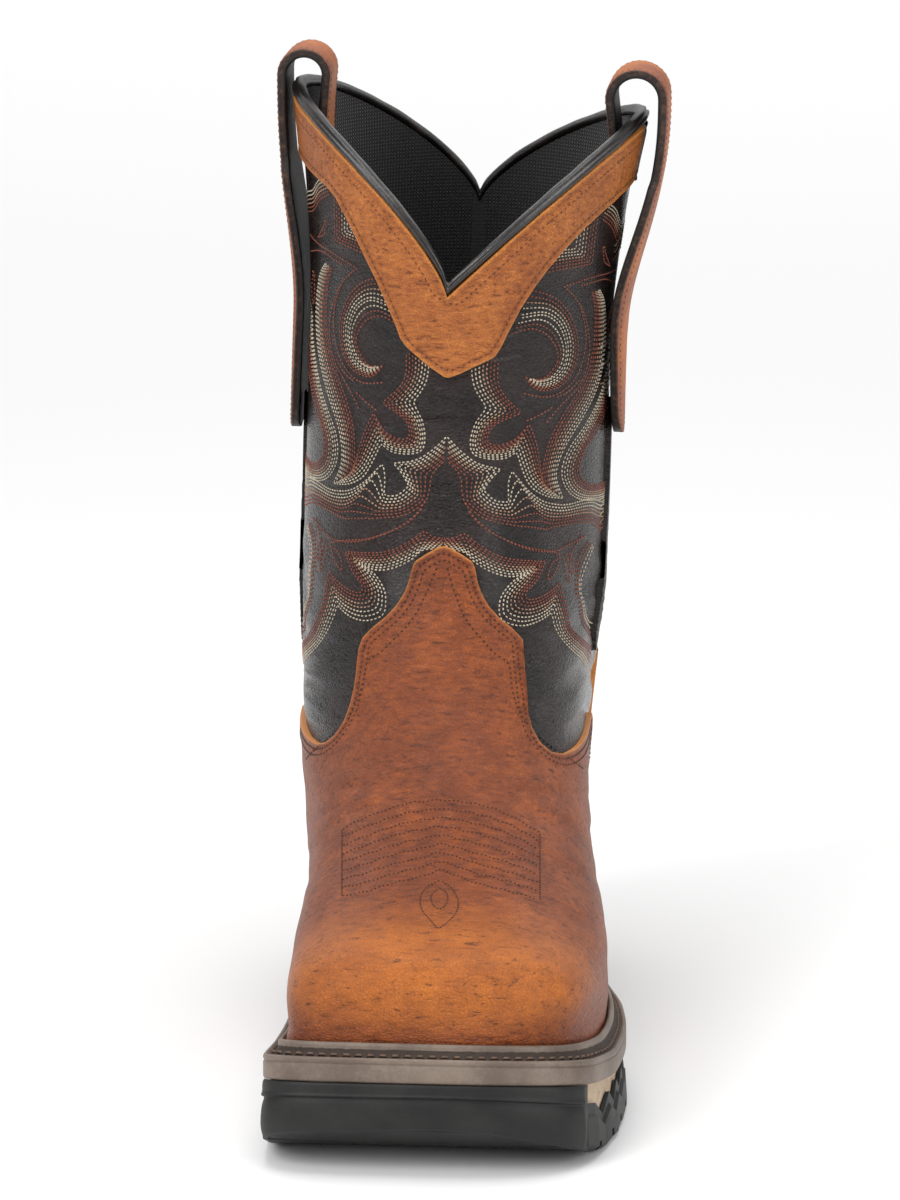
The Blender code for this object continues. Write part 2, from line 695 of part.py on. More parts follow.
def vamp_field(point):
    """Negative on the vamp: below its scalloped edge and ahead of its rear seam."""
    across = abs(point[0] - SECTIONS[len(FOOT_SECTIONS) - 1][2] - VAMP_SHIFT)
    share = across / (BALL_WIDTH / 2)
    if point[1] > TOE_Y + SHAFT_FRONT + 0.40 * SHAFT_DEPTH:
        share = 3.0
    edge = COLLAR_HEIGHT * line_value(VAMP_EDGE, min(3.0, share), "height")
    rear = TOE_Y + VAMP_REAR - max(0.0, point[2] - SEAT_HEIGHT) * VAMP_REAR_SLOPE
    return max(point[2] - edge, point[1] - rear)


def counter_field(point):
    """Negative on the heel counter: behind its sloping front edge and below its top."""
    front = TOE_Y + VAMP_REAR + 2 * GAP + max(0.0, point[2] - SEAT_HEIGHT) * COUNTER_SLOPE
    back = TOE_Y + SHAFT_FRONT + SHAFT_DEPTH
    rise = min(1.0, max(0.0, (back - point[1]) / (SHAFT_DEPTH * 0.55)))
    top = COUNTER_BACK_HEIGHT + (COUNTER_HEIGHT - COUNTER_BACK_HEIGHT) * rise
    return max(point[2] - top, front - point[1])


def build_vamp():
    """The vamp: one piece of leather over the toe and instep, scalloped to a point up the shaft."""
    return overlay("vamp", vamp_field)


def skin_tree():
    """A fine copy of the upper's outer face to read places from, with a short skirt below the sole's plane."""
    lines = [i / 60 for i in range(-60, 61)]
    rows = [i / 3 for i in range(3 * TOP_ROW + 1)]
    points = [Vector(upper_point(row, r)) for row in rows for r in lines]
    width = len(lines)
    faces = [
        (i * width + j, i * width + j + 1, (i + 1) * width + j + 1, (i + 1) * width + j)
        for i in range(len(rows) - 1) for j in range(width - 1)
    ]
    heel = 3 * (len(FOOT_SECTIONS) - 1)
    rim = [i * width for i in range(heel, 0, -1)] + list(range(width))
    rim += [i * width + width - 1 for i in range(1, heel + 1)]
    for a, b in zip(rim, rim[1:]):
        low = len(points)
        points += [points[a] - Vector((0, 0, 0.008)), points[b] - Vector((0, 0, 0.008))]
        faces.append((a, b, low + 1, low))
    return BVHTree.FromPolygons(points, faces)


def on_skin(turn, height):
    """Where a level ray from the shaft's axis meets the upper. turn is from the front, + to the outer side."""
    lean = min(1.0, max(0.0, (height - SEAT_HEIGHT) / (COLLAR_HEIGHT - SEAT_HEIGHT)))
    centre = FOOT_SECTIONS[-1].ridge * BALL_WIDTH + SHAFT_LEAN * lean
    origin = Vector((centre, TOE_Y + SHAFT_FRONT + SHAFT_DEPTH / 2, height))
    angle = math.radians(turn)
    way = Vector((math.sin(angle) * SHAFT_WIDTH, -math.cos(angle) * SHAFT_DEPTH, 0)).normalized()
    hit = SKIN.ray_cast(origin, way)[0]
    return np.array(hit) if hit else None


def skin_frame(turn, height):
    """A point of the shaft and its outward direction."""
    top = height
    here = on_skin(turn, top)
    while here is None:
        top -= 0.002
        here = on_skin(turn, top)
    below = on_skin(turn, top - 0.004)
    side = on_skin(turn + 2, top - 0.004) - on_skin(turn - 2, top - 0.004)
    normal = np.cross(side, here - below)
    normal = normal / np.linalg.norm(normal)
    here = here + (here - below) * (height - top) / 0.004
    return here, normal


def turn_of(point):
    """The angle of a shaft point round from the front centre line, 0 to 180 degrees, on a round shaft."""
    lean = min(1.0, max(0.0, (point[2] - SEAT_HEIGHT) / (COLLAR_HEIGHT - SEAT_HEIGHT)))
    centre = SECTIONS[LEVEL_ROW][2] + SHAFT_LEAN * 0.5 * max(0.0, (lean - 0.7) / 0.3)
    middle = TOE_Y + SHAFT_FRONT + SHAFT_DEPTH / 2
    across = abs(point[0] - centre) / SHAFT_WIDTH
    ahead = (middle - point[1]) / SHAFT_DEPTH
    return math.degrees(math.atan2(across, ahead))


def band_field(band, point, from_back):
    """Negative above a collar band's lower edge and short of the side strap."""
    turn = turn_of(point)
    off = 180 - turn if from_back else turn
    side = 1 if point[0] > SECTIONS[LEVEL_ROW][2] + SHAFT_LEAN / 4 else -1
    slope = PEAK_SLOPE * (point[0] - SECTIONS[LEVEL_ROW][2])
    low = collar_height(side * turn) - COLLAR_HEIGHT * line_value(band, off, "below") - slope
    return max(low - point[2], (off - band[-1].turn) * SHAFT_DEPTH / 2 * math.pi / 180)


def build_collar():
    """The front and back collar bands, each cut to a point below its dip."""
    overlay("collar_front", lambda point: band_field(FRONT_BAND, point, False), LEVEL_ROW - 3)
    overlay("collar_back", lambda point: band_field(BACK_BAND, point, True), LEVEL_ROW - 3)


def build_counter():
    """The heel counter: stiff leather round the heel, behind the vamp's rear seam on each side."""
    return overlay("counter", counter_field, bends=1)


def seam_line(aside, side, distance):
    """The points of one line along a side seam, off the upper's face, at each row of its grid."""
    step = side * math.copysign(1 / ROUND_STEPS, aside) if aside else side / ROUND_STEPS
    cell = abs(upper_point(LEVEL_ROW, side * 0.5 + step)[1] - upper_point(LEVEL_ROW, side * 0.5)[1])
    share = abs(aside) / cell
    line = []
    for row in grid_rows():
        middle = skin_offset(row, side * 0.5, distance)
        line.append(middle * (1 - share) + skin_offset(row, side * 0.5 + step, distance) * share)
    return line


def build_side_seams():
    """The raised strip over each side seam, from the counter's height to the pull strap."""
    asides = (-SEAM_WIDTH / 2, 0.0, SEAM_WIDTH / 2)
    for side_name, side in SIDES:
        heights = [point[2] for point in seam_line(0.0, side, 0.0)]
        first = next(i for i, z in enumerate(heights) if z > COUNTER_BACK_HEIGHT)
        last = next(i for i, z in enumerate(heights) if z > STRAP_LOW_END - 2 * GAP)
        low = (COUNTER_BACK_HEIGHT - heights[first - 1]) / (heights[first] - heights[first - 1])
        high = (STRAP_LOW_END - 2 * GAP - heights[last - 1]) / (heights[last] - heights[last - 1])
        faces = []
        for distance in (GAP, GAP + OVERLAY):
            lines = [seam_line(aside, side, distance) for aside in asides]
            rows = [[line[first - 1] * (1 - low) + line[first] * low for line in lines]]
            rows += [[line[i] for line in lines] for i in range(first, last)]
            rows.append([line[last - 1] * (1 - high) + line[last] * high for line in lines])
            faces.append(rows)
        slab(f"side_seam_{side_name}", *faces)


def build_binding():
    """The rolled binding that closes the collar's edge: a rounded ring that follows the dips and peaks."""
    sections = []
    for r in round_lines()[:-1]:
        top = upper_point(float(TOP_ROW), r)
        normal = upper_normal(TOP_ROW - 0.02, r if abs(r) < 0.99 else 0.995 * np.sign(r))
        level = normal * np.array([1, 1, 0])
        level = level / np.linalg.norm(level)
        middle = top - level * (WALL / 2 - OVERLAY / 2)
        section = []
        for k in range(8):
            angle = 2 * math.pi * k / 8
            up = GAP + BINDING_HEIGHT / 2 * (1 + math.sin(angle))
            section.append(middle + level * BINDING_WIDTH / 2 * math.cos(angle) + np.array([0, 0, up]))
        sections.append(section)
    return loft("collar_binding", sections, ring=True)


def build_strap(side_name, side):
    """A pull strap: two plies folded over the collar, stitched inside and, with a leaf-shaped end, outside."""
    middle_y = TOE_Y + SHAFT_FRONT + SHAFT_DEPTH / 2
    lift = 2 * GAP + OVERLAY + GAP
    half_thick = STRAP_THICKNESS / 2
    peak = upper_point(float(TOP_ROW), side * 0.5)
    bow = STRAP_BOW_INNER if side < 0 else STRAP_BOW_OUTER
    inner_x = side * peak[0] - (WALL + 2 * GAP + BINDING_WIDTH / 2) - half_thick - STRAP_STAND_IN
    outer_x = side * peak[0] + lift + bow + half_thick
    radius = (outer_x - inner_x) / 2
    arch_x, arch_z = (outer_x + inner_x) / 2, STRAP_TOP - half_thick - radius - (0.003 if side > 0 else -0.003)
    route = []
    for z in np.linspace(STRAP_INNER_END, arch_z, 6)[:-1]:
        route.append((inner_x, z, 0.0, "inside"))
    for k in range(7):
        angle = math.pi - math.pi * k / 6
        route.append((arch_x + radius * math.cos(angle), arch_z + radius * math.sin(angle), 1.0, "arch"))
    hug_height = STRAP_LOW_END + 0.35 * (arch_z - STRAP_LOW_END)
    for z in list(np.linspace(arch_z, STRAP_LOW_END + 0.016, 9)[1:]) + [STRAP_LOW_END + 0.006, STRAP_LOW_END]:
        share = max(0.0, (z - hug_height) / (arch_z - hug_height))
        route.append((share, z, share, "outside"))
    across = [-1.0, -0.4, 0.4, 1.0]
    inner, outer = [], []
    spots = []
    for x, z, share, leg in route:
        line = []
        for k in across:
            half = STRAP_WIDTH / 2
            if leg == "outside":
                low = (z - STRAP_LOW_END) / (arch_z - STRAP_LOW_END)
                swell = math.sin(math.pi * min(1.0, (1 - low) * 1.15)) if low < 0.75 else 0.0
                half += (STRAP_LEAF_WIDTH - STRAP_WIDTH) / 2 * max(0.0, swell)
                tip = min(1.0, (z - STRAP_LOW_END) / 0.016)
                half *= math.sqrt(max(0.05, 1 - (1 - tip) ** 2))
            y = middle_y + k * half
            if leg == "outside":
                turn = side * (90 + math.degrees(math.asin(max(-1, min(1, k * half / (SHAFT_DEPTH / 2))))))
                point, normal = skin_frame(turn, z)
                hugged = point + normal * (lift + half_thick)
                free = np.array([side * outer_x, y, z])
                blend = share * share * (3 - 2 * share)
                place = hugged + (free - hugged) * blend
            elif leg == "inside":
                turn = side * (90 + math.degrees(math.asin(k * half / (SHAFT_DEPTH / 2))))
                point, normal = skin_frame(turn, min(z, peak[2] - 0.004))
                hugged = point - normal * (WALL + 6 * GAP + half_thick)
                hugged[2] = z
                free = np.array([side * x, y, z])
                climb = max(0.0, (z - STRAP_INNER_END - 0.012) / (arch_z - STRAP_INNER_END - 0.012))
                place = hugged + (free - hugged) * climb
            else:
                place = np.array([side * x, y, z])
            line.append(place)
        spots.append(line)
    for i, line in enumerate(spots):
        inner_line, outer_line = [], []
        for j, place in enumerate(line):
            before, after = spots[max(i - 1, 0)][j], spots[min(i + 1, len(spots) - 1)][j]
            left, right = line[max(j - 1, 0)], line[min(j + 1, len(line) - 1)]
            normal = np.cross(after - before, right - left) * side
            normal = normal / np.linalg.norm(normal)
            inner_line.append(place - normal * half_thick)
            outer_line.append(place + normal * half_thick)
        inner.append(inner_line)
        outer.append(outer_line)
    return slab(f"pull_strap_{side_name}", inner, outer)


def build_welt():
    """The welt and its board: a lip round the whole boot, a stitched groove, and a storm rib against the upper."""
    distances = [0.0] + sole_stations() + [SOLE_LENGTH]
    loop = [(-1, d) for d in distances] + [(1, d) for d in reversed(distances[1:-1])]
    skin = BVHTree.FromPolygons(*foot_skin())
    sections = []
    for side, distance in loop:
        (x, y), inward = edge_and_inward(side, distance)
        room = WELT_WIDTH
        for aside in (-0.0035, 0.0, 0.0035):
            (from_x, from_y), way = edge_and_inward(side, min(SOLE_LENGTH, max(0.0, distance + aside)))
            for up in (0.0003, 0.0008, 0.0016, 0.0028):
                start = Vector((from_x, from_y, seat_height(from_y) + up))
                hit = skin.ray_cast(start, Vector((*way, 0)), 0.03)
                room = min(room, hit[3]) if hit[0] else room
        rib = room - 2.5 * GAP
        profile = (
            (WELT_WIDTH + 0.008, -WELT_THICKNESS), (0.0006, -WELT_THICKNESS), (0.0, -WELT_THICKNESS + 0.0008), (0.0, -WELT_LIP - 0.0006),
            (0.0006, -WELT_LIP), (0.0016, -WELT_LIP), (0.0022, -WELT_GROOVE), (rib - 0.0026, -WELT_GROOVE),
            (rib - 0.0020, WELT_RIB - 0.0008), (rib - 0.0010, WELT_RIB), (rib, WELT_RIB - 0.0008),
            (rib - 2 * GAP, -2 * GAP), (WELT_WIDTH + 0.008, -2 * GAP),
        )
        sections.append([
            np.array([x + inward[0] * off, y + inward[1] * off, seat_height(y + inward[1] * off) + up])
            for off, up in profile
        ])
    mesh = grid_mesh("welt", sections, closed_columns=True)
    bm = bmesh.new()
    bm.from_mesh(mesh)
    bm.verts.ensure_lookup_table()
    last = len(distances) - 1
    width = len(sections[0])
    for edge in (0, width - 1):
        for i in range(last):
            corners = [i, i + 1, (len(loop) - i - 1) if i + 1 < last else i + 1, (len(loop) - i) if i else i]
            corners = [c for k, c in enumerate(corners) if c not in corners[:k]]
            bm.faces.new([bm.verts[c * width + edge] for c in corners])
    bm.to_mesh(mesh)
    bm.free()
    return new_object("welt", outward(mesh))


def edge_and_inward(side, distance):
    """A point of the sole's outline and the level direction from it towards the foot."""
    edge = np.array(sole_edge(side, distance))
    inward = np.array(sole_edge(side, distance, WELT_WIDTH + 0.008)) - edge
    return edge, inward / np.linalg.norm(inward)


def foot_skin():
    """The faces that the welt's rib is seated against: upper, vamp and counter."""
    points, faces = [], []
    for name in ("upper", "vamp", "counter"):
        mesh = bpy.data.objects[name].data
        start = len(points)
        points += [vert.co.copy() for vert in mesh.vertices]
        faces += [[start + i for i in face.vertices] for face in mesh.polygons]
    return points, faces


def build_midsole():
    """The cushioning midsole, held in the outsole's cup and glued under the welt."""
    inset = RUBBER_WALL + GAP
    start, finish = BUMPER_DEPTH + GAP, SOLE_LENGTH - RUBBER_WALL - 0.0012
    stations = [start] + [d for d in sole_stations() if start + 0.001 < d < finish - 0.001] + [finish]
    sections = []
    for d in stations:
        low, high = rubber_top(d) + GAP, welt_bottom(d) - GAP
        section = []
        for side, heights in ((-1, (low, (low + high) / 2, high)), (1, (high, (low + high) / 2, low))):
            for k, z in enumerate(heights):
                out = 0.0004 if k != 1 else 0.0
                section.append(np.array([edge_x(side, d, inset + out), TOE_Y + d, z]))
        sections.append(section)
    return loft("midsole", sections)


def build_outsole():
    """The rubber outsole: a cup with a toe bumper and toothed walls, cut into lugs below, with its own heel."""
    stations = sole_stations()
    extra = [BUMPER_DEPTH, BUMPER_DEPTH + 0.0002, HEEL_BREAST - 0.0004, HEEL_BREAST,
             SOLE_LENGTH - RUBBER_WALL - 0.0008, SOLE_LENGTH - RUBBER_WALL - 0.0006]
    stations = sorted([d for d in stations if all(abs(d - e) > 0.0009 for e in extra)] + extra)
    sections = []
    for d in stations:
        pocket = BUMPER_DEPTH + 0.0001 < d < SOLE_LENGTH - RUBBER_WALL - 0.0007
        floor = floor_line(d)
        section = []
        for side in (-1, 1):
            top = wall_top(d, side)
            body = top - floor
            levels = (
                (0.0016, floor), (-0.0004, floor + 0.14 * body), (0.0002, floor + 0.72 * body),
                (0.0012, floor + 0.78 * body), (0.0012, top),
            )
            points = [np.array([*sole_edge(side, d, off), z]) for off, z in levels]
            inside_x = edge_x(side, d, RUBBER_WALL)
            inner_floor = rubber_top(d) if pocket else top
            points.append(np.array([inside_x, TOE_Y + d, top]))
            points.append(np.array([inside_x, TOE_Y + d, inner_floor]))
            section.extend(points if side < 0 else reversed(points))
        sections.append(section)
    outsole = loft("outsole", sections)
    cutter = groove_cutter()
    cut = outsole.modifiers.new("grooves", "BOOLEAN")
    cut.object = cutter
    cut.operation = "DIFFERENCE"
    return outsole


def groove_cutter():
    """Chevron grooves across the forepart and heel, as one cutter of separate bars."""
    bm = bmesh.new()
    spots = []
    at = 0.020
    while at < 0.455 * SOLE_LENGTH:
        spots.append(at)
        at += LUG_PITCH
    at = HEEL_BREAST + 0.014
    while at < SOLE_LENGTH - 0.014:
        spots.append(at)
        at += LUG_PITCH
    for spot in spots:
        for side in (-1, 1):
            inner = sole_edge(side, spot, 0.0)[0]
            centre = SOLE_WIDTH * table_value(SOLE_PLAN, spot / SOLE_LENGTH, "centre")
            start = centre + side * 0.009
            stop = inner + side * 0.006
            rise = floor_line(spot) + LUG_DEPTH
            made = bmesh.ops.create_cube(bm, size=1.0)["verts"]
            for vert in made:
                share = vert.co.x + 0.5
                x = start + (stop - start) * share
                back = -0.007 * share
                y = TOE_Y + spot + back + vert.co.y * GROOVE_WIDTH * (1 if vert.co.z < 0 else 0.6)
                vert.co = Vector((x, y, -0.01 if vert.co.z < 0 else rise))
    bmesh.ops.recalc_face_normals(bm, faces=bm.faces)
    mesh = bpy.data.meshes.new("groove_cutter")
    bm.to_mesh(mesh)
    bm.free()
    cutter = bpy.data.objects.new("groove_cutter", mesh)
    cutter.location.x = -FRAME_SHIFT
    CUTTERS.objects.link(cutter)
    cutter.hide_render = True
    cutter.display_type = "WIRE"
    return cutter


def build_insole():
    """The removable footbed, lying inside the upper."""
    inset = WELT_WIDTH + WALL + 0.0022
    start, finish = WELT_WIDTH + WALL + 0.0035, SOLE_LENGTH - WELT_WIDTH - WALL - 0.0030
    stations = [start] + [d for d in sole_stations()[::2] if start + 0.002 < d < finish - 0.002] + [finish]
    sections = []
    for d in stations:
        level = seat_height(TOE_Y + d)
        section = []
        for side, order in ((-1, (0, 1)), (1, (1, 0))):
            x = edge_x(side, d, inset)
            for k in order:
                section.append(np.array([x, TOE_Y + d, level + INSOLE_THICKNESS * k]))
        sections.append(section)
    return loft("insole", sections)


def main():
    build_upper()
    build_vamp()
    build_counter()
    build_collar()
    build_side_seams()
    build_binding()
    for side_name, side in SIDES:
        build_strap(side_name, side)
    build_welt()
    build_midsole()
    build_outsole()
    build_insole()


clear_scene()
PARTS = bpy.data.collections.new("western_work_boot")
CUTTERS = bpy.data.collections.new("cutters")
bpy.context.scene.collection.children.link(PARTS)
bpy.context.scene.collection.children.link(CUTTERS)
SKIN = skin_tree()
main()
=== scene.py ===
import math

import bmesh
import bpy
import numpy as np
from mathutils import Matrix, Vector
from mathutils.bvhtree import BVHTree


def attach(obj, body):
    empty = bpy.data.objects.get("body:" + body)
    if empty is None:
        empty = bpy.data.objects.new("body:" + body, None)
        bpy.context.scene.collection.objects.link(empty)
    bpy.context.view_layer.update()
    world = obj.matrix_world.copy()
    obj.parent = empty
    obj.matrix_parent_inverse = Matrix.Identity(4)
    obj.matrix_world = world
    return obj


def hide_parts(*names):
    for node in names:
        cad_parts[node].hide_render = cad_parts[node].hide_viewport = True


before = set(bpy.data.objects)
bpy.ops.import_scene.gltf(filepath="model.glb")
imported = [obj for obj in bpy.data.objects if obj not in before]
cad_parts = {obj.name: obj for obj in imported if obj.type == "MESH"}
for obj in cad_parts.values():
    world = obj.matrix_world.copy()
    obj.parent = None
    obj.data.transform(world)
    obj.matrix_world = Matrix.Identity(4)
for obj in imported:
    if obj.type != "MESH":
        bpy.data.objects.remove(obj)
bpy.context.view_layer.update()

# ---------------------------------------------------------------------------------------------
# Shaft: two panels of glazed, near-black leather, closed at the sides, that run down over the ankle.
# It is lasted over a foot form, so its own surface is worked out first and every other piece of
# leather is laid on that surface. The leather is finely crinkled and creased across the ankle.
# ---------------------------------------------------------------------------------------------
FOOT_LINE = -0.001766
SOLE_LENGTH = 0.312
SOLE_WIDTH = 0.1145
TOE_Y = -SOLE_LENGTH / 2
HEEL_CAP = 0.034
HEEL_SQUARENESS = 2.2
SEAT_HEIGHT = 0.047
WELT_WIDTH = 0.0088
BALL_WIDTH = 0.1020
INSTEP_RISE = 0.100
SHAFT_WIDTH = 0.1050
SHAFT_DEPTH = 0.1260
SHAFT_MIDDLE_Y = TOE_Y + 0.1720 + SHAFT_DEPTH / 2
COLLAR_WIDTH = 0.1200
COLLAR_HEIGHT = 0.3180
LEVEL_HEIGHT = COLLAR_HEIGHT * 0.7547
SHAFT_LEAN = 0.0072
PEAK_SLOPE = 0.080
FRONT_DIP, BACK_DIP = 0.0570, 0.0437
WALL = 0.0024
OVERLAY = 0.0019

# The sole's outline: share of the length, middle line, inner and outer half widths as shares of its width
SOLE_PLAN = np.array([
    (0.00, 0.050, 0.470, 0.465), (0.09, 0.048, 0.480, 0.478), (0.18, 0.061, 0.492, 0.502),
    (0.27, 0.070, 0.497, 0.500), (0.36, 0.066, 0.472, 0.480), (0.45, 0.050, 0.402, 0.432),
    (0.55, 0.028, 0.352, 0.386), (0.65, 0.004, 0.340, 0.356), (0.76, -0.024, 0.348, 0.348),
    (0.88, -0.040, 0.346, 0.344), (1.00, -0.042, 0.330, 0.326),
])
# The line on which the upper stands: share of the length, height as a share of the heel seat's
SEAT_LINE = np.array([
    (0.00, 0.912), (0.09, 0.785), (0.18, 0.700), (0.28, 0.672), (0.40, 0.680),
    (0.50, 0.745), (0.60, 0.850), (0.70, 0.935), (0.80, 0.985), (1.00, 1.000),
])
# Sections of the foot: ridge place, rise and side, sole end, widest share, inner and outer reach,
# roundness of the inner side, the outer side and the lower half, and the turn of the lower half in degrees
FOOT_SECTIONS = (
    (0.0270, 0.00, 0.060, 0.120, 0.76, -0.388, 0.492, 4.20, 3.00, 2.00, 62),
    (0.0255, 0.10, 0.060, 0.136, 0.70, -0.392, 0.500, 4.00, 3.00, 2.00, 62),
    (0.0290, 0.20, 0.059, 0.155, 0.64, -0.396, 0.514, 3.80, 3.00, 2.20, 62),
    (0.0440, 0.28, 0.057, 0.180, 0.60, -0.402, 0.532, 3.40, 2.90, 2.30, 62),
    (0.0800, 0.345, 0.054, 0.212, 0.58, -0.410, 0.550, 3.00, 2.70, 2.40, 62),
    (0.1440, 0.41, 0.048, 0.253, 0.57, -0.420, 0.562, 2.70, 2.50, 2.50, 62),
    (0.2240, 0.50, 0.036, 0.302, 0.58, -0.428, 0.560, 2.50, 2.40, 2.50, 62),
    (0.3080, 0.61, 0.020, 0.356, 0.60, -0.428, 0.540, 2.40, 2.30, 2.40, 62),
    (0.3840, 0.75, 0.000, 0.417, 0.61, -0.432, 0.505, 2.30, 2.20, 2.30, 62),
    (0.4490, 0.91, -0.024, 0.487, 0.59, -0.452, 0.468, 2.20, 2.10, 2.20, 62),
    (0.4970, 1.08, -0.042, 0.577, 0.55, -0.486, 0.444, 2.10, 2.05, 2.10, 62),
    (0.5290, 1.26, -0.054, 0.690, 0.50, -0.524, 0.428, 2.05, 2.00, 2.05, 64),
    (0.5450, 1.44, -0.060, 0.815, 0.47, -0.550, 0.424, 2.00, 2.00, 2.00, 68),
    (0.5500, 1.56, -0.064, 0.900, 0.46, -0.562, 0.426, 2.00, 2.00, 2.00, 76),
    (0.5512, 1.64, -0.066, 0.950, 0.46, -0.568, 0.428, 2.00, 2.00, 2.00, 84),
    (0.5513, 1.69, -0.067, 0.9705, 0.46, -0.570, 0.430, 2.00, 2.00, 2.00, 90),
)
# Sections of the shaft: heights of the front and back lines as shares of the way from the foot's last section
# to the level ring, and how far the back line stands out
SHAFT_SECTIONS = (
    (0.176, 0.154, 0.290), (0.391, 0.316, 0.200), (0.585, 0.490, 0.060), (0.785, 0.739, 0.0), (1.0, 1.0, 0.0),
)
# The toe's cap: its length and squareness on the inner and the outer side
TOE_CAPS = {-1: (0.022, 4.2), 1: (0.038, 2.7)}
CAP_SHARE = 0.66
FEATHER_ROWS = 4.0
COLLAR_STEPS = 4


def on_curve(table, at, column):
    """A column of the table at a key, on a smooth curve that never overshoots."""
    keys, values = table[:, 0], table[:, column]
    at = min(max(at, keys[0]), keys[-1])
    spot = min(int(np.searchsorted(keys, at, side="right")) - 1, len(keys) - 2)
    slopes = np.diff(values) / np.diff(keys)

    def lean(i):
        if i == 0 or i == len(keys) - 1:
            return slopes[max(i - 1, 0)]
        before, after = slopes[i - 1], slopes[i]
        return 0.0 if before * after <= 0 else 2 * before * after / (before + after)

    width = keys[spot + 1] - keys[spot]
    t = (at - keys[spot]) / width
    return (
        values[spot] * (1 + 2 * t) * (1 - t) ** 2 + values[spot + 1] * t * t * (3 - 2 * t)
        + width * (lean(spot) * t * (1 - t) ** 2 - lean(spot + 1) * t * t * (1 - t))
    )


def seat_height(y):
    """Height of the upper's lower edge at a place along the boot."""
    return SEAT_HEIGHT * on_curve(SEAT_LINE, (y - TOE_Y) / SOLE_LENGTH, 1)


def cap_share(distance, length, squareness):
    """How much of its half width the sole has at a distance from its end."""
    left = min(1.0, max(0.0, 1 - distance / length))
    return (1 - left**squareness) ** (1 / squareness)


def cap_distance(share, length, squareness):
    """Distance from the sole's end at a share of the way round its cap."""
    return length * (1 - np.cos(share * math.pi / 2) ** (2 / squareness))


def sole_edge(side, distance, inset=0.0):
    """A point of the sole's outline, drawn in by an inset, at a distance from the toe tip."""
    along = inset + distance * (1 - 2 * inset / SOLE_LENGTH)
    share = along / SOLE_LENGTH
    half = SOLE_WIDTH * on_curve(SOLE_PLAN, share, 2 if side < 0 else 3) - inset
    half *= cap_share(along - inset, *TOE_CAPS[side])
    half *= cap_share(SOLE_LENGTH - inset - along, HEEL_CAP, HEEL_SQUARENESS)
    return SOLE_WIDTH * on_curve(SOLE_PLAN, share, 1) + side * half, TOE_Y + along


def edge_x(side, station, inset):
    """How far sideways the drawn-in outline lies at a station along the sole."""
    distance = (station - inset) / (1 - 2 * inset / SOLE_LENGTH)
    return sole_edge(side, min(SOLE_LENGTH, max(0.0, distance)), inset)[0]


def all_sections():
    """The sections of the foot and the shaft in real sizes."""
    rows = []
    for top, rise, ridge, end, widest, medial, lateral, inner, outer, low, turn in FOOT_SECTIONS:
        top_y, end_y = TOE_Y + top * SOLE_LENGTH, TOE_Y + end * SOLE_LENGTH
        reach = [edge_x(side, end * SOLE_LENGTH, WELT_WIDTH) for side in (-1, 1)]
        if end == FOOT_SECTIONS[-1][3]:
            reach = [SOLE_WIDTH * on_curve(SOLE_PLAN, end, 1)] * 2
        rows.append([top_y, seat_height(top_y) + rise * INSTEP_RISE, ridge * BALL_WIDTH, end_y, seat_height(end_y),
                     widest, medial * BALL_WIDTH, lateral * BALL_WIDTH, *reach, inner, outer, low, turn])
    ankle = FOOT_SECTIONS[-1][2] * BALL_WIDTH
    front_z, back_z = rows[-1][1], rows[-1][4]
    front_y = SHAFT_MIDDLE_Y - SHAFT_DEPTH / 2
    back_y = SHAFT_MIDDLE_Y + SHAFT_DEPTH / 2
    for i, (front, back, behind) in enumerate(SHAFT_SECTIONS):
        share = (i + 1) / len(SHAFT_SECTIONS)
        centre = ankle + SHAFT_LEAN * 0.5 * share
        rows.append([front_y, front_z + front * (LEVEL_HEIGHT - front_z), centre,
                     back_y + behind * HEEL_CAP, back_z + back * (LEVEL_HEIGHT - back_z), 0.46 + 0.04 * share,
                     centre - SHAFT_WIDTH / 2, centre + SHAFT_WIDTH / 2, centre, centre, 2.0, 2.0, 2.0, 90])
    return np.array(rows)


SECTIONS = all_sections()
HEEL_ROW = len(FOOT_SECTIONS) - 1
INSTEP_ROW = 6.0
ANKLE_ROW = 8.0
LEVEL_ROW = len(SECTIONS) - 1
TOP_ROW = LEVEL_ROW + COLLAR_STEPS
AXIS_X = SECTIONS[LEVEL_ROW][2]


def collar_height(turn):
    """Height of the collar at an angle from the front: scalloped, with a deep dip before and behind."""
    dip = FRONT_DIP if abs(turn) < 90 else BACK_DIP
    power = 1.0 if 0 < turn < 90 else 0.72
    return COLLAR_HEIGHT - dip * (1 - math.sin(math.radians(abs(turn))) ** power)


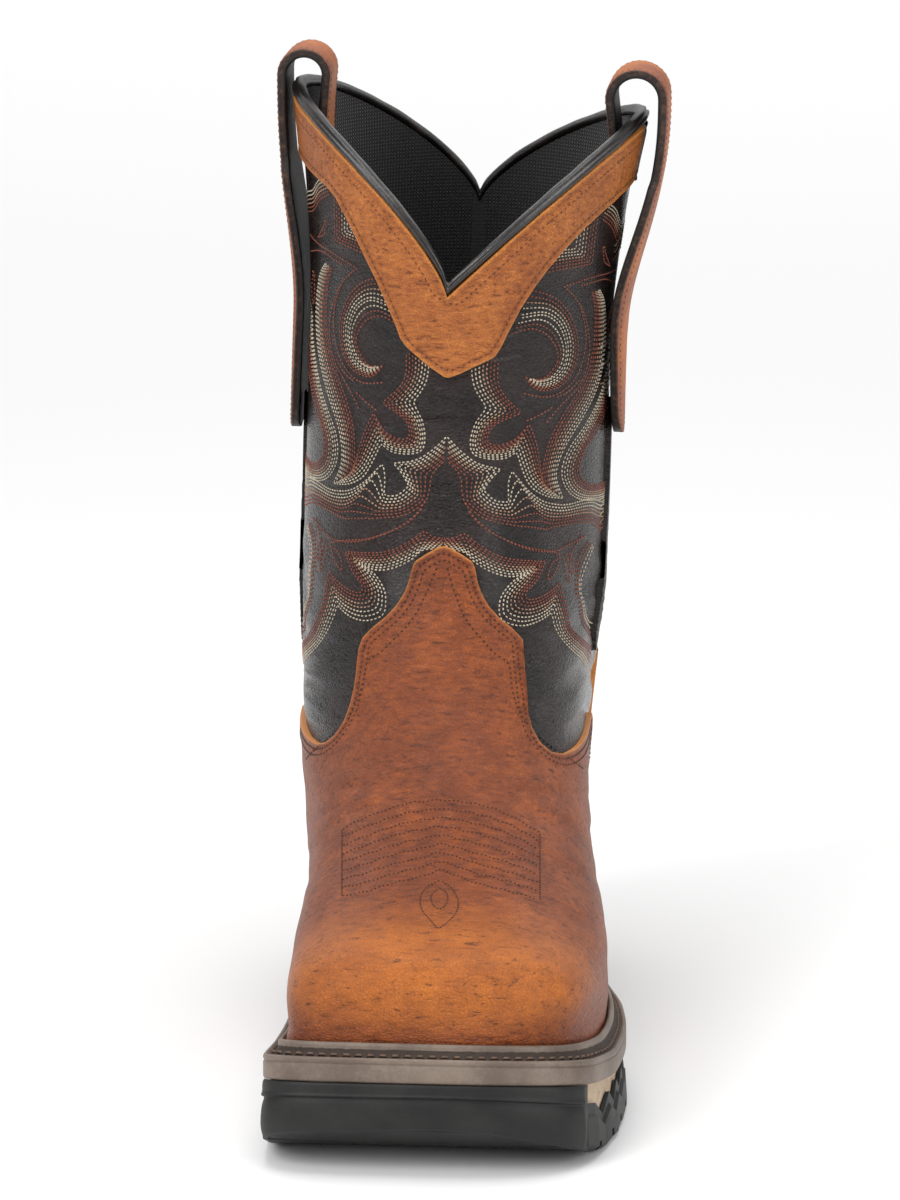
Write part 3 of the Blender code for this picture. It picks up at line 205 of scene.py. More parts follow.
def section_point(row, line):
    """A point of a section: line runs from -1 on the inner side, by the ridge at 0, to 1."""
    row = min(row, float(LEVEL_ROW))
    i = min(int(row), LEVEL_ROW - 1)
    t = row - i
    before, here = SECTIONS[max(i - 1, 0)], SECTIONS[i]
    after, beyond = SECTIONS[i + 1], SECTIONS[min(i + 2, LEVEL_ROW)]
    values = 0.5 * (2 * here + (after - before) * t + (2 * before - 5 * here + 4 * after - beyond) * t**2
                    + (3 * here - before - 3 * after + beyond) * t**3)
    top_y, top_z, ridge, end_y, end_z, widest = values[:6]
    side = 0 if line < 0 else 1
    wide, reach, power, low_power, turn = (
        values[6 + side], values[8 + side], values[10 + side], values[12], math.radians(values[13]))
    mid_y, mid_z = top_y + (end_y - top_y) * widest, top_z + (end_z - top_z) * widest
    share = abs(line)
    if share <= 0.5:
        angle = share * math.pi
        out = math.sin(angle) ** (2 / power)
        back = max(0.0, math.cos(angle)) ** (2 / power)
        return np.array([ridge + (wide - ridge) * out, mid_y + (top_y - mid_y) * back, mid_z + (top_z - mid_z) * back])
    angle = (share - 0.5) * 2 * turn
    out = (math.cos(angle) - math.cos(turn)) / (1 - math.cos(turn))
    down = (math.sin(angle) / math.sin(turn)) ** (2 / low_power)
    return np.array([reach + (wide - reach) * out, mid_y + (end_y - mid_y) * down, mid_z + (end_z - mid_z) * down])


def feather_point(line):
    """A point of the upper's lower edge round the toe, just inside the welt."""
    side = -1 if line < 0 else 1
    length, squareness = TOE_CAPS[side]
    end = (FOOT_SECTIONS[0][3] * SOLE_LENGTH - WELT_WIDTH) / (1 - 2 * WELT_WIDTH / SOLE_LENGTH)
    share = abs(line)
    if share < CAP_SHARE:
        distance = cap_distance(share / CAP_SHARE, length, squareness)
    else:
        distance = length + (end - length) * (share - CAP_SHARE) / (1 - CAP_SHARE)
    x, y = sole_edge(side, distance, WELT_WIDTH)
    return np.array([x, y, seat_height(y)])


def lasted_point(row, line):
    """A point of the shaft's and foot's outer face."""
    point = section_point(row, line)
    if row < FEATHER_ROWS:
        point += (feather_point(line) - section_point(0, line)) * (1 - row / FEATHER_ROWS) ** 2
        point[2] = max(point[2], seat_height(point[1]))
    if row > LEVEL_ROW:
        share = (row - LEVEL_ROW) / COLLAR_STEPS
        point[2] = LEVEL_HEIGHT + (collar_height(180 * line) - LEVEL_HEIGHT) * share
        climb = max(0.0, point[2] - LEVEL_HEIGHT) / (COLLAR_HEIGHT - LEVEL_HEIGHT)
        flare = 1 + (COLLAR_WIDTH / SHAFT_WIDTH - 1) * climb**1.6
        point[0] = AXIS_X + (point[0] - AXIS_X) * flare + SHAFT_LEAN * 0.5 * climb
        point[1] = SHAFT_MIDDLE_Y + (point[1] - SHAFT_MIDDLE_Y) * (1 + 0.03 * climb)
    tilt = min(1.0, max(0.0, (point[2] - SEAT_HEIGHT) / (LEVEL_HEIGHT - SEAT_HEIGHT)))
    point[2] -= PEAK_SLOPE * (point[0] - AXIS_X) * tilt**2
    return point + np.array([FOOT_LINE, 0, 0])


ROWS_EACH, LINES_EACH = 6, 120
LAST = np.array([
    [lasted_point(i / ROWS_EACH, j / LINES_EACH) for j in range(-LINES_EACH, LINES_EACH + 1)]
    for i in range(TOP_ROW * ROWS_EACH + 1)
])


def weights(t):
    """The four shares of a smooth curve between the middle two of four points."""
    return (
        -0.5 * t + t**2 - 0.5 * t**3, 1 - 2.5 * t**2 + 1.5 * t**3,
        0.5 * t + 2 * t**2 - 1.5 * t**3, -0.5 * t**2 + 0.5 * t**3,
    )


def on_last(row, line):
    """Points of the outer face at arrays of rows and lines."""
    row = np.clip(row, 0, TOP_ROW) * ROWS_EACH
    line = (np.clip(line, -1, 1) + 1) * LINES_EACH
    high, wide = LAST.shape[:2]
    i = np.minimum(row.astype(int), high - 2)
    j = np.minimum(line.astype(int), wide - 2)
    up, along = weights(row - i), weights(line - j)
    total = np.zeros((*row.shape, 3))
    for a in range(4):
        for b in range(4):
            at = LAST[np.clip(i + a - 1, 0, high - 1), np.clip(j + b - 1, 0, wide - 1)]
            total += at * (up[a] * along[b])[..., None]
    return total


def unit(vectors):
    """The same directions, each of length 1."""
    return vectors / np.maximum(np.linalg.norm(vectors, axis=-1, keepdims=True), 1e-12)


def facing(row, line):
    """Outward directions of the outer face."""
    up = on_last(row + 0.04, line) - on_last(row - 0.04, line)
    round_ = on_last(row, line + 0.006) - on_last(row, line - 0.006)
    return unit(np.cross(round_, up))


# The shaft leans in two straight steps: from a height, over a height
LEAN_STEPS = ((0.110, 0.130), (0.240, 0.078))


def shaft_centre(height):
    """How far sideways the shaft's middle lies at a height."""
    lean = sum(np.clip((height - start) / span, 0, 1) for start, span in LEAN_STEPS)
    return FOOT_SECTIONS[-1][2] * BALL_WIDTH + SHAFT_LEAN * 0.5 * lean + FOOT_LINE


def round_the_shaft(points):
    """Distance round the shaft from its front centre line, with + to the outer side, and height."""
    across = (points[..., 0] - shaft_centre(points[..., 2])) / SHAFT_WIDTH
    ahead = (SHAFT_MIDDLE_Y - points[..., 1]) / SHAFT_DEPTH
    return np.interp(np.arctan2(across, ahead), ARC_TURN, ARC_LENGTH), points[..., 2]


ARC_TURN = np.linspace(-math.pi, math.pi, 1441)
ARC_LENGTH = np.cumsum(np.hypot(SHAFT_WIDTH / 2 * np.cos(ARC_TURN), SHAFT_DEPTH / 2 * np.sin(ARC_TURN)))
ARC_LENGTH = (ARC_LENGTH - ARC_LENGTH[720]) * (2 * math.pi / 1440)


def folds(across, up, creases):
    """Depth of soft creases: each runs between two places, and has a depth, a width and a side ridge."""
    total = np.zeros(across.shape)
    for x0, y0, x1, y1, depth, width in creases:
        way = np.array([x1 - x0, y1 - y0])
        length = math.hypot(*way)
        way = way / length
        along = (across - x0) * way[0] + (up - y0) * way[1]
        off = -(across - x0) * way[1] + (up - y0) * way[0]
        off = off + 0.035 * length * np.sin(along / length * 4.0 + x0)
        share = np.clip(along / length, 0, 1)
        fade = np.sin(np.pi * share) ** 0.7 * (share > 0) * (share < 1)
        total += fade * depth * (-np.exp(-(off / width) ** 2) + 0.45 * np.exp(-((off - 1.9 * width) / width) ** 2))
    return total


def stood(name, data):
    """A new piece of the scene with this shape, lamp or lens."""
    piece = bpy.data.objects.new(name, data)
    bpy.context.scene.collection.objects.link(piece)
    return piece


def grid_sheet(name, wide, high, place):
    """A sheet made from a grid, whose corners place() lays on the boot. It also gives the flat pattern."""
    bm = bmesh.new()
    bmesh.ops.create_grid(bm, x_segments=wide, y_segments=high, size=0.5)
    mesh = bpy.data.meshes.new(name)
    bm.to_mesh(mesh)
    bm.free()
    flat = np.empty(len(mesh.vertices) * 3, dtype=np.float32)
    mesh.vertices.foreach_get("co", flat)
    flat = flat.reshape(-1, 3).astype(float)
    points, maps = place(np.clip(flat[:, 0] + 0.5, 0, 1), np.clip(flat[:, 1] + 0.5, 0, 1))
    mesh.vertices.foreach_set("co", points.astype(np.float32).ravel())
    corner = np.empty(len(mesh.loops), dtype=np.int32)
    mesh.loops.foreach_get("vertex_index", corner)
    for title, pattern in maps.items():
        layer = mesh.uv_layers.new(name=title)
        layer.data.foreach_set("uv", pattern[corner].astype(np.float32).ravel())
    mesh.update()
    mesh.shade_smooth()
    return stood(name, mesh)


def join_up(piece, apart, ends=False):
    """Joins the corners that meet, closes the ends where asked, and turns every face outward."""
    bm = bmesh.new()
    bm.from_mesh(piece.data)
    bmesh.ops.remove_doubles(bm, verts=bm.verts, dist=apart)
    if ends:
        bmesh.ops.holes_fill(bm, edges=[edge for edge in bm.edges if edge.is_boundary])
    bmesh.ops.recalc_face_normals(bm, faces=bm.faces)
    bm.to_mesh(piece.data)
    bm.free()
    piece.data.shade_smooth()


class Signal:
    """A socket in a finish, on which arithmetic adds the nodes for it."""

    def __init__(self, finish, socket):
        self.finish = finish
        self.socket = socket

    def math(self, operation, *others):
        return self.finish.add("ShaderNodeMath", {"operation": operation}, {0: self, **dict(enumerate(others, 1))})

    def __add__(self, other):
        return self.math("ADD", other)

    __radd__ = __add__

    def __mul__(self, other):
        return self.math("MULTIPLY", other)

    __rmul__ = __mul__

    def __sub__(self, other):
        return self.math("SUBTRACT", other)

    def __rsub__(self, other):
        return self.finish.add("ShaderNodeMath", {"operation": "SUBTRACT"}, {0: other, 1: self})

    def ramp(self, low, high):
        """0 at low and 1 at high, smooth between."""
        return self.finish.add(
            "ShaderNodeMapRange", {"interpolation_type": "SMOOTHSTEP"}, {0: self, 1: low, 2: high, 3: 0.0, 4: 1.0})

    def near(self, centre, width):
        """1 at the centre, falling to 0 a width away."""
        return 1 - (self - centre).math("ABSOLUTE").ramp(0.0, width)


class Finish:
    """The finish of one kind of piece: a material whose nodes are added one after the other."""

    def __init__(self, name, **values):
        self.material = bpy.data.materials.new(name)
        self.material.use_nodes = True
        self.tree = self.material.node_tree
        self.shader = self.tree.nodes["Principled BSDF"]
        for socket, value in values.items():
            self.shader.inputs[socket.replace("_", " ")].default_value = value

    def add(self, kind, settings=None, inputs=None, output=0):
        """Adds a node with its settings, feeds it and gives one of its outputs."""
        node = self.tree.nodes.new(kind)
        for name, value in (settings or {}).items():
            setattr(node, name, value)
        for socket, value in (inputs or {}).items():
            self.feed(node.inputs[socket], value)
        return Signal(self, node.outputs[output])

    def feed(self, socket, value):
        """Links a signal to a socket, or sets the socket to a number or a colour."""
        if isinstance(value, Signal):
            self.tree.links.new(value.socket, socket)
        elif isinstance(value, tuple) and len(value) == 3 and len(socket.default_value) == 4:
            socket.default_value = (*value, 1.0)
        else:
            socket.default_value = value

    def spot(self):
        """The place on the piece, in metres."""
        return self.add("ShaderNodeTexCoord", output=3)

    def scaled(self, place, scale):
        """The same place stretched along each axis."""
        return self.add("ShaderNodeMapping", {"vector_type": "POINT"}, {0: place, 3: scale})

    def pattern(self, name):
        """The place on one of the piece's flat patterns."""
        return self.add("ShaderNodeUVMap", {"uv_map": name})

    def axes(self, place):
        """The three parts of a place."""
        node = self.add("ShaderNodeSeparateXYZ", inputs={0: place}).socket.node
        return [Signal(self, node.outputs[i]) for i in range(3)]

    def noise(self, place, scale, detail=4.0, rough=0.55, bend=0.0):
        """Soft noise from 0 to 1."""
        return self.add("ShaderNodeTexNoise", {"noise_dimensions": "3D"},
                        {"Vector": place, "Scale": scale, "Detail": detail, "Roughness": rough, "Distortion": bend})

    def cells(self, place, scale, feature):
        """A pattern of cells: distances to their middles or their edges."""
        return self.add("ShaderNodeTexVoronoi", {"feature": feature}, {"Vector": place, "Scale": scale})

    def mix(self, low, high, share):
        """A colour between two."""
        return self.add("ShaderNodeMix", {"data_type": "RGBA"}, {0: share, 6: low, 7: high}, output=2)

    def bump(self, height, distance, strength):
        """Surface directions for a relief."""
        return self.add("ShaderNodeBump", inputs={"Height": height, "Distance": distance, "Strength": strength})

    def dress(self, *pieces, **sockets):
        """Feeds the shader and puts the finish on the pieces."""
        for socket, value in sockets.items():
            self.feed(self.shader.inputs[socket.replace("_", " ")], value)
        for piece in pieces:
            self.wear(piece)

    def wear(self, *pieces):
        """Puts the finish on the pieces."""
        for piece in pieces:
            piece.data.materials.clear()
            piece.data.materials.append(self.material)


# Creases of the shaft, round from the front and up, in millimetres, then depth and width in millimetres
SHAFT_CREASES = (
    (-18, 219, 14, 216, 0.55, 1.5), (-14, 226, 18, 224, 0.45, 1.3), (-12, 232, 16, 234, 0.40, 1.2),
    (4, 214, 26, 219, 0.40, 1.4), (-26, 209, -6, 213, 0.35, 1.3), (14, 245, 32, 250, 0.50, 1.4),
    (16, 252, 34, 256, 0.45, 1.3), (12, 239, 30, 241, 0.40, 1.2), (-34, 251, -18, 247, 0.35, 1.3),
    (-12, 196, 12, 193, 0.40, 1.4), (-14, 188, 10, 186, 0.35, 1.2), (26, 150, 48, 140, 0.55, 2.0),
    (-50, 138, -28, 146, 0.50, 2.0), (-46, 126, -26, 133, 0.55, 2.0), (24, 128, 48, 120, 0.55, 2.2),
    (-60, 116, -34, 124, 0.60, 2.4), (34, 112, 62, 108, 0.55, 2.4), (-78, 150, -55, 146, 0.50, 2.4),
    (55, 152, 80, 148, 0.50, 2.4), (-80, 130, -60, 128, 0.60, 2.6), (60, 132, 84, 128, 0.60, 2.6),
    (60, 232, 78, 236, 0.35, 1.5), (-80, 262, -62, 258, 0.35, 1.5), (-92, 140, -80, 152, 0.50, 2.2),
    (110, 150, 150, 144, 0.70, 3.0), (-150, 146, -108, 150, 0.70, 3.0), (120, 162, 165, 160, 0.50, 2.6),
    (-165, 160, -120, 164, 0.50, 2.6), (100, 200, 140, 204, 0.35, 2.0), (-140, 214, -104, 210, 0.35, 2.0),
    (150, 232, 176, 228, 0.40, 2.0), (-176, 236, -146, 232, 0.40, 2.0),
)


# Share of the shaft's grid that lies under the vamp, where nothing of it shows
COVERED = 0.08


def shaft_face(across, up):
    """The shaft's leather with its creases: few rows under the vamp, many above the ankle."""
    shown = (up - COVERED) / (1 - COVERED)
    row = np.where(up < COVERED, up / COVERED * ANKLE_ROW, ANKLE_ROW + shown * (TOP_ROW - ANKLE_ROW))
    line = across * 2 - 1
    points = on_last(row, line)
    turn, height = round_the_shaft(points)
    depth = folds(turn * 1000, height * 1000, SHAFT_CREASES) / 1000
    ankle = np.exp(-((height - 0.125) / 0.030) ** 2) * np.clip(np.abs(turn) / 0.05, 0, 1)
    depth += 0.0007 * ankle * np.sin(height * 420 + turn * 60 + 1.4 * np.sin(turn * 75))
    depth *= np.clip((row - 8.2) / 1.5, 0, 1) * np.clip((TOP_ROW - 0.3 - row) / 0.8, 0, 1)
    seam = np.clip((1 - np.abs(line)) / 0.04, 0, 1)
    points = points + facing(row, line) * (np.minimum(depth, 0.00025) * seam)[:, None]
    return points, {"leather": np.stack([turn, height], 1)}


shaft = grid_sheet("shaft", 260, 330, shaft_face)
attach(shaft, "root")
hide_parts("upper")

glazed = Finish("glazed_dark_leather", Coat_Roughness=0.20, Specular_IOR_Level=0.30)
place = glazed.spot()
cloud = glazed.noise(place, 38.0, 4.0)
crinkle = glazed.noise(glazed.scaled(place, (1.0, 1.0, 2.6)), 190.0, 5.0, 0.62, 0.7)
pebble = glazed.cells(glazed.scaled(place, (1.0, 1.0, 1.5)), 560.0, "DISTANCE_TO_EDGE")
colour = glazed.mix((0.0060, 0.0036, 0.0031), (0.019, 0.0100, 0.0078), cloud.ramp(0.35, 0.72))
# Painted highlight: the ridges of the crinkles are lighter brown
colour = glazed.mix(colour, (0.046, 0.022, 0.015), crinkle.ramp(0.60, 0.80) * 0.40)
height = crinkle * 0.75 + pebble.ramp(0.0, 0.25) * 0.22 + glazed.noise(place, 1500.0, 2.0) * 0.08
glazed.dress(
    shaft, Base_Color=colour, Roughness=0.17 + cloud * 0.10,
    Coat_Weight=0.05 + cloud * 0.12, Normal=glazed.bump(height, 0.0012, 0.9))

# ---------------------------------------------------------------------------------------------
# Shaft stitching: many rows of thick thread sewn through both panels in scrolls and flames, from
# cream at the outside of each band, through tan, to brick red at the inside.
# Each stitch is a small slug of thread that dips into the leather at both ends.
# ---------------------------------------------------------------------------------------------
STITCH_PITCH = 0.00158
THREAD = 0.00058
# How much further along each row starts than the row beside it, as a share of a stitch
STAGGER = 0.37
# Each band: its cream edge, its brick edge and which of its points are sharp. Places are round and up in mm.
BANDS = (
    (((-39, 292), (-39, 281), (-34, 280.5), (-30, 280)),
     ((-48, 292), (-48, 276), (-38, 274.5), (-28, 272.5)), (1,), 7),
    (((-88, 286), (-75, 289), (-66, 291), (-60, 295), (-54, 297)),
     ((-88, 280), (-75, 282), (-66, 284), (-58, 289), (-50, 292)), (), 6),
    (((-20, 257), (-28, 258.5), (-34, 256), (-38, 251), (-39.5, 245), (-38, 239), (-34, 235), (-30, 233.5),
      (-27, 233.5), (-24, 235)),
     ((-22, 266), (-31, 264), (-38, 259), (-43, 252), (-44.5, 245), (-42, 238), (-37, 233), (-31, 231),
      (-26, 231.5), (-22, 236)), (), 5),
    (((-20, 256), (-28, 257.5), (-33.5, 255), (-37, 250.5), (-38.6, 245), (-37.5, 240), (-33.8, 236), (-30, 234.4),
      (-27, 234), (-25, 235)),
     ((-17, 250), (-24, 252.5), (-30, 250.5), (-34, 246), (-35, 242), (-32, 237.5), (-29, 235), (-27, 234.6),
      (-26, 234.5), (-25, 235.4)), (), 4),
    (((-55, 267), (-60, 263), (-64, 256), (-65.5, 248), (-63, 239), (-57, 230), (-50, 221.5), (-43.5, 213),
      (-40.5, 206), (-40, 199), (-44, 191.5)),
     ((-50, 266), (-53, 260), (-54.5, 252), (-54, 245), (-51, 238), (-45, 230), (-39, 222), (-35, 214),
      (-33.5, 206), (-33.5, 201), (-34, 196)), (10,), 8),
    (((-44, 191.5), (-36, 192.5), (-29, 196), (-25, 202), (-22, 208.5), (-18, 206), (-12, 205.5), (-7, 207),
      (-6, 212), (-7.5, 218), (-10.5, 223.5), (-6.5, 230), (-5.3, 237), (-6, 243)),
     ((-34, 196), (-33, 200), (-31.5, 205), (-29, 212), (-25.5, 218.5), (-21, 213), (-15.5, 210.5), (-12, 211),
      (-11.5, 214), (-14, 218), (-22, 222.5), (-16, 228), (-13.5, 233), (-13.5, 241)), (4, 10), 8),
    (((-92, 252), (-75, 248), (-70, 240), (-65, 233), (-58, 224.5), (-51, 217), (-45, 210.5), (-42.5, 204),
      (-43.5, 198), (-48, 193), (-55, 190.5), (-64, 189.5), (-75, 189), (-90, 189)),
     ((-90, 228), (-75, 224), (-68, 220), (-61, 214), (-56, 211), (-54, 208), (-52.8, 205), (-52.5, 203),
      (-53, 200), (-55, 198), (-59, 196), (-65, 195), (-75, 195), (-90, 195)), (), 8),
    (((-92, 188), (-75, 188), (-64, 190), (-55, 189.8), (-45, 189), (-35, 190.5), (-28, 194.5), (-23.5, 199),
      (-21, 201.5), (-20, 197), (-20, 190.5), (-15, 191), (-11, 194.5), (-14, 199), (-17, 202), (-9, 203.5),
      (-3, 207.5), (1.5, 212)),
     ((-92, 177), (-75, 178), (-64, 181), (-55, 182), (-45, 181.5), (-40, 181), (-38, 180.8), (-37, 180.6),
      (-36, 180.5), (-30, 181.5), (-22, 182.5), (-12, 184.5), (-5, 189), (-4, 193), (-3.5, 198), (-2, 200.5),
      (0, 202.5), (1.5, 204)), (8, 10, 12, 14), 8),
    (((1.5, 173.5), (-5, 173), (-8, 170), (-13, 167), (-19, 165.3), (-25, 166), (-20, 163.5), (-16, 158.5),
      (-15, 153), (-16, 150.5), (-21, 148.5), (-27, 149), (-33.5, 151.5), (-34, 147), (-37, 141), (-42, 135),
      (-49, 130), (-60, 124.5), (-75, 118)),
     ((1.5, 177), (-2, 177.5), (-5, 179.5), (-10, 175.5), (-18, 171.5), (-34, 169.5), (-29, 163.5), (-24.5, 160),
      (-24, 157.5), (-26, 157), (-30, 157.5), (-36, 159.5), (-41, 161.5), (-42, 154), (-43, 146.5), (-47, 141),
      (-55, 135.5), (-65, 130.5), (-75, 127)), (2, 5, 8, 12), 8),
    (((-68, 172), (-63, 165), (-60, 158), (-60, 151), (-63, 145), (-70, 140), (-80, 136)),
     ((-64, 174), (-58, 170), (-55, 162), (-54, 152), (-56, 145), (-62, 138), (-72, 131)), (), 4),
)
# Single rows of brick thread: vines and small leaves between the bands
VINES = (
    ((-35, 268), (-42, 263), (-48, 256), (-51.5, 247), (-50.5, 240), (-46, 233), (-40, 228), (-35, 223), (-32, 219)),
    ((-44, 261), (-48, 253), (-48.5, 246), (-46, 239), (-42, 234), (-36, 230), (-30, 228.5), (-22, 229.5)),
    ((-34, 225), (-29, 222), (-24, 219.5)), ((-46, 235), (-40, 230.5), (-35, 228.5)),
    ((-75, 274), (-60, 272.5), (-48, 271), (-36, 268)), ((-75, 268), (-60, 270.5), (-50, 269.5), (-43, 268)),
    ((-62, 275), (-57, 279), (-54, 283), (-56, 277), (-62, 275)),
    ((-60, 176.5), (-50, 174), (-40, 172.5), (-30, 173.5), (-22, 176), (-14, 180), (-8, 185), (-5, 190)),
    ((-43, 171), (-36, 173), (-24, 175.5), (-12, 181), (-6, 187)),
    ((-58, 177), (-53, 172), (-50, 167), (-48, 160)), ((-45, 170), (-46, 163), (-47.5, 160)),
    ((-43, 170), (-38, 169), (-35, 166), (-34, 163), (-38, 165), (-42, 169)),
    ((-47, 171), (-49, 166), (-52, 163), (-53, 167), (-50, 171)),
    ((-72, 262), (-74, 254), (-70, 250), (-68, 256), (-71, 262)),
    ((-39, 220), (-37, 214), (-39, 209), (-42, 213), (-39, 220)),
)
# The pattern's middle lies this many millimetres towards the outer side of the shaft's front line
MIDDLE = 1.5


def outer_half(run):
    """The same run on the outer half of a panel, where the pattern lies wider and a little lower."""
    away, height = MIDDLE - run[:, 0], run[:, 1]
    across = MIDDLE + away * np.interp(height, (150, 200, 230), (1.06, 1.06, 1.15))
    return np.stack([across, height - away * np.interp(height, (130, 160, 200, 240), (0.0, 0.09, 0.12, 0.17))], 1)


def rounded_run(points, corners=()):
    """A finer run of points on smooth curves between the sharp corners."""
    points = np.array(points, dtype=float)
    cuts = [0, *[c for c in corners if 0 < c < len(points) - 1], len(points) - 1]
    parts = []
    for start, stop in zip(cuts, cuts[1:]):
        leg = points[start:stop + 1]
        ends = np.vstack([2 * leg[0] - leg[1], leg, 2 * leg[-1] - leg[-2]])
        for i in range(len(leg) - 1):
            t = np.linspace(0, 1, 9)[:-1, None]
            w = weights(t)
            parts.append(w[0] * ends[i] + w[1] * ends[i + 1] + w[2] * ends[i + 2] + w[3] * ends[i + 3])
    return np.vstack([*parts, points[-1:]])


def tree_of(*pieces):
    """The faces of some pieces, to seat things against."""
    points, faces = [], []
    for piece in pieces:
        start = len(points)
        points += [vert.co.copy() for vert in piece.data.vertices]
        faces += [[start + i for i in face.vertices] for face in piece.data.polygons]
    return BVHTree.FromPolygons(points, faces)


def seated(tree, run, back=False):
    """Points and outward directions on the shaft for a run of places round and up, in mm."""
    places, ways = [], []
    for across, height in run:
        turn = float(np.interp(across / 1000, ARC_LENGTH, ARC_TURN))
        up = height / 1000
        ahead = math.cos(turn) * SHAFT_DEPTH * (-1 if back else 1)
        way = Vector((math.sin(turn) * SHAFT_WIDTH, -ahead, 0)).normalized()
        hit, normal = tree.ray_cast(Vector((float(shaft_centre(up)), SHAFT_MIDDLE_Y, up)), way)[:2]
        if hit is None:
            continue
        places.append(hit)
        ways.append(normal if normal.dot(way) > 0 else -normal)
    return np.array(places), np.array(ways)


def stitches_along(places, ways, pitch=STITCH_PITCH, phase=0.0):
    """Middle, direction and outward direction of each stitch on a run over the leather."""
    if len(places) < 2:
        return []
    steps = np.linalg.norm(np.diff(places, axis=0), axis=1)
    at = np.concatenate([[0], np.cumsum(steps)])
    count = max(1, round(at[-1] / pitch))
    marks = (np.arange(count + 1) - phase) * at[-1] / count
    marks = np.clip(marks, 0, at[-1])
    nodes = np.stack([np.interp(marks, at, places[:, k]) for k in range(3)], 1)
    outs = np.stack([np.interp(marks, at, ways[:, k]) for k in range(3)], 1)
    made = []
    for a, b, n in zip(nodes, nodes[1:], outs):
        if 0.4 * pitch < np.linalg.norm(b - a) < 2.2 * pitch:
            made.append(((a + b) / 2, b - a, n))
    return made


def sewn(name, stitches, colour, thread=THREAD, share=0.86):
    """One piece with all stitches of a colour. Each is a stretched ball of a few faces."""
    bm = bmesh.new()
    bmesh.ops.create_uvsphere(bm, u_segments=4, v_segments=3, radius=0.5)
    ball = np.array([vert.co for vert in bm.verts])
    faces = [[vert.index for vert in face.verts] for face in bm.faces]
    bm.free()
    middle = np.array([s[0] for s in stitches])
    along = np.array([s[1] for s in stitches])
    out = unit(np.array([s[2] for s in stitches]))
    side = unit(np.cross(out, along))
    out = unit(np.cross(along, side))
    dip = 0.10 * thread - 0.9 * thread * (np.abs(ball[:, 2]) * 2) ** 4
    points = (
        middle[:, None] + along[:, None] * (ball[:, 2, None] * share)
        + side[:, None] * (ball[:, 0, None] * thread) + out[:, None] * (ball[:, 1, None] * thread + dip[:, None]))
    count = len(ball)
    mesh = bpy.data.meshes.new(name)
    every = [[i + k * count for i in face] for k in range(len(stitches)) for face in faces]
    mesh.from_pydata(points.reshape(-1, 3).tolist(), [], every)
    mesh.shade_smooth()
    piece = stood(name, mesh)
    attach(piece, "root")
    thread_finish = Finish(name + "_thread", Specular_IOR_Level=0.45)
    place = thread_finish.spot()
    worn = thread_finish.noise(place, 420.0, 3.0)
    twist = thread_finish.noise(place, 3200.0, 2.0)
    dark = tuple(c * 0.42 for c in colour)
    thread_finish.dress(
        piece, Base_Color=thread_finish.mix(dark, colour, (worn * 0.7 + twist * 0.5).ramp(0.32, 0.72)),
        Roughness=0.42 + twist * 0.3, Normal=thread_finish.bump(twist, 0.0002, 0.6))
    return piece


shaft_tree = tree_of(shaft)
threads = {"cream": [], "tan": [], "brick": []}
for cream_edge, brick_edge, corners, rows in BANDS:
    for k in range(rows):
        share = k / max(1, rows - 1)
        run = rounded_run(np.array(cream_edge) * (1 - share) + np.array(brick_edge) * share, corners)
        tone = "cream" if share < 0.34 else "tan" if share < 0.62 else "brick"
        for half in (run, outer_half(run)):
            threads[tone] += stitches_along(*seated(shaft_tree, half), phase=k * STAGGER % 1.0)
            if k % 2 == 0:
                threads[tone] += stitches_along(*seated(shaft_tree, half, back=True), phase=k * STAGGER % 1.0)
for vine in VINES:
    run = rounded_run(vine)
    for half in (run, outer_half(run)):
        threads["brick"] += stitches_along(*seated(shaft_tree, half))
sewn("shaft_stitching_cream", threads["cream"], (0.62, 0.53, 0.40))
sewn("shaft_stitching_tan", threads["tan"], (0.46, 0.27, 0.17))
sewn("shaft_stitching_brick", threads["brick"], (0.27, 0.072, 0.042))

# ---------------------------------------------------------------------------------------------
# Lining: black woven cloth, glued inside the shaft and down into the foot, and turned out
# under the binding at the collar.
# ---------------------------------------------------------------------------------------------
THREAD_TO_THREAD = 0.00125


def lining_face(across, up):
    """The inner face of the wall, turned so that it faces the foot."""
    row, line = up * TOP_ROW, 1 - across * 2
    out = facing(row, line)
    on_seat = (row < 0.6) | ((np.abs(line) > 0.985) & (row < HEEL_ROW + 0.3))
    out = unit(np.where(on_seat[:, None], out * np.array([1, 1, 0]), out))
    points = on_last(row, line) - out * WALL
    turn, height = round_the_shaft(points)
    return points, {"cloth": np.stack([turn, height], 1)}


lining = grid_sheet("lining", 150, 110, lining_face)
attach(lining, "root")

black_cloth = Finish("black_lining_cloth", Roughness=0.85, Sheen_Weight=0.15)
weave_u, weave_v, _ = black_cloth.axes(black_cloth.pattern("cloth"))
warp = (weave_u * (2 * math.pi / THREAD_TO_THREAD)).math("SINE")
weft = (weave_v * (2 * math.pi / THREAD_TO_THREAD)).math("SINE")
weave = warp * weft * 0.5 + (warp + weft) * 0.25
fuzz = black_cloth.noise(black_cloth.spot(), 700.0, 3.0)
black_cloth.dress(
    lining, Base_Color=black_cloth.mix((0.0032, 0.0033, 0.0038), (0.015, 0.0155, 0.017), (weave + fuzz).ramp(0.1, 1.1)),
    Normal=black_cloth.bump(weave + fuzz * 0.6, 0.0004, 0.8))

# ---------------------------------------------------------------------------------------------
# Vamp: one piece of thick, rusty pull-up leather over the toe and instep, cut to a scalloped point
# up the shaft, with a raw bright edge and two rows of dark thread. Toe burnished lighter, with a painted highlight on
# its crown.
# ---------------------------------------------------------------------------------------------
# The rounded raw edge of a cut piece: share of the thickness, and how far it stands out past the cut
RIM = ((0.97, 0.00016), (0.78, 0.00042), (0.36, 0.00058), (-0.20, 0.00060))
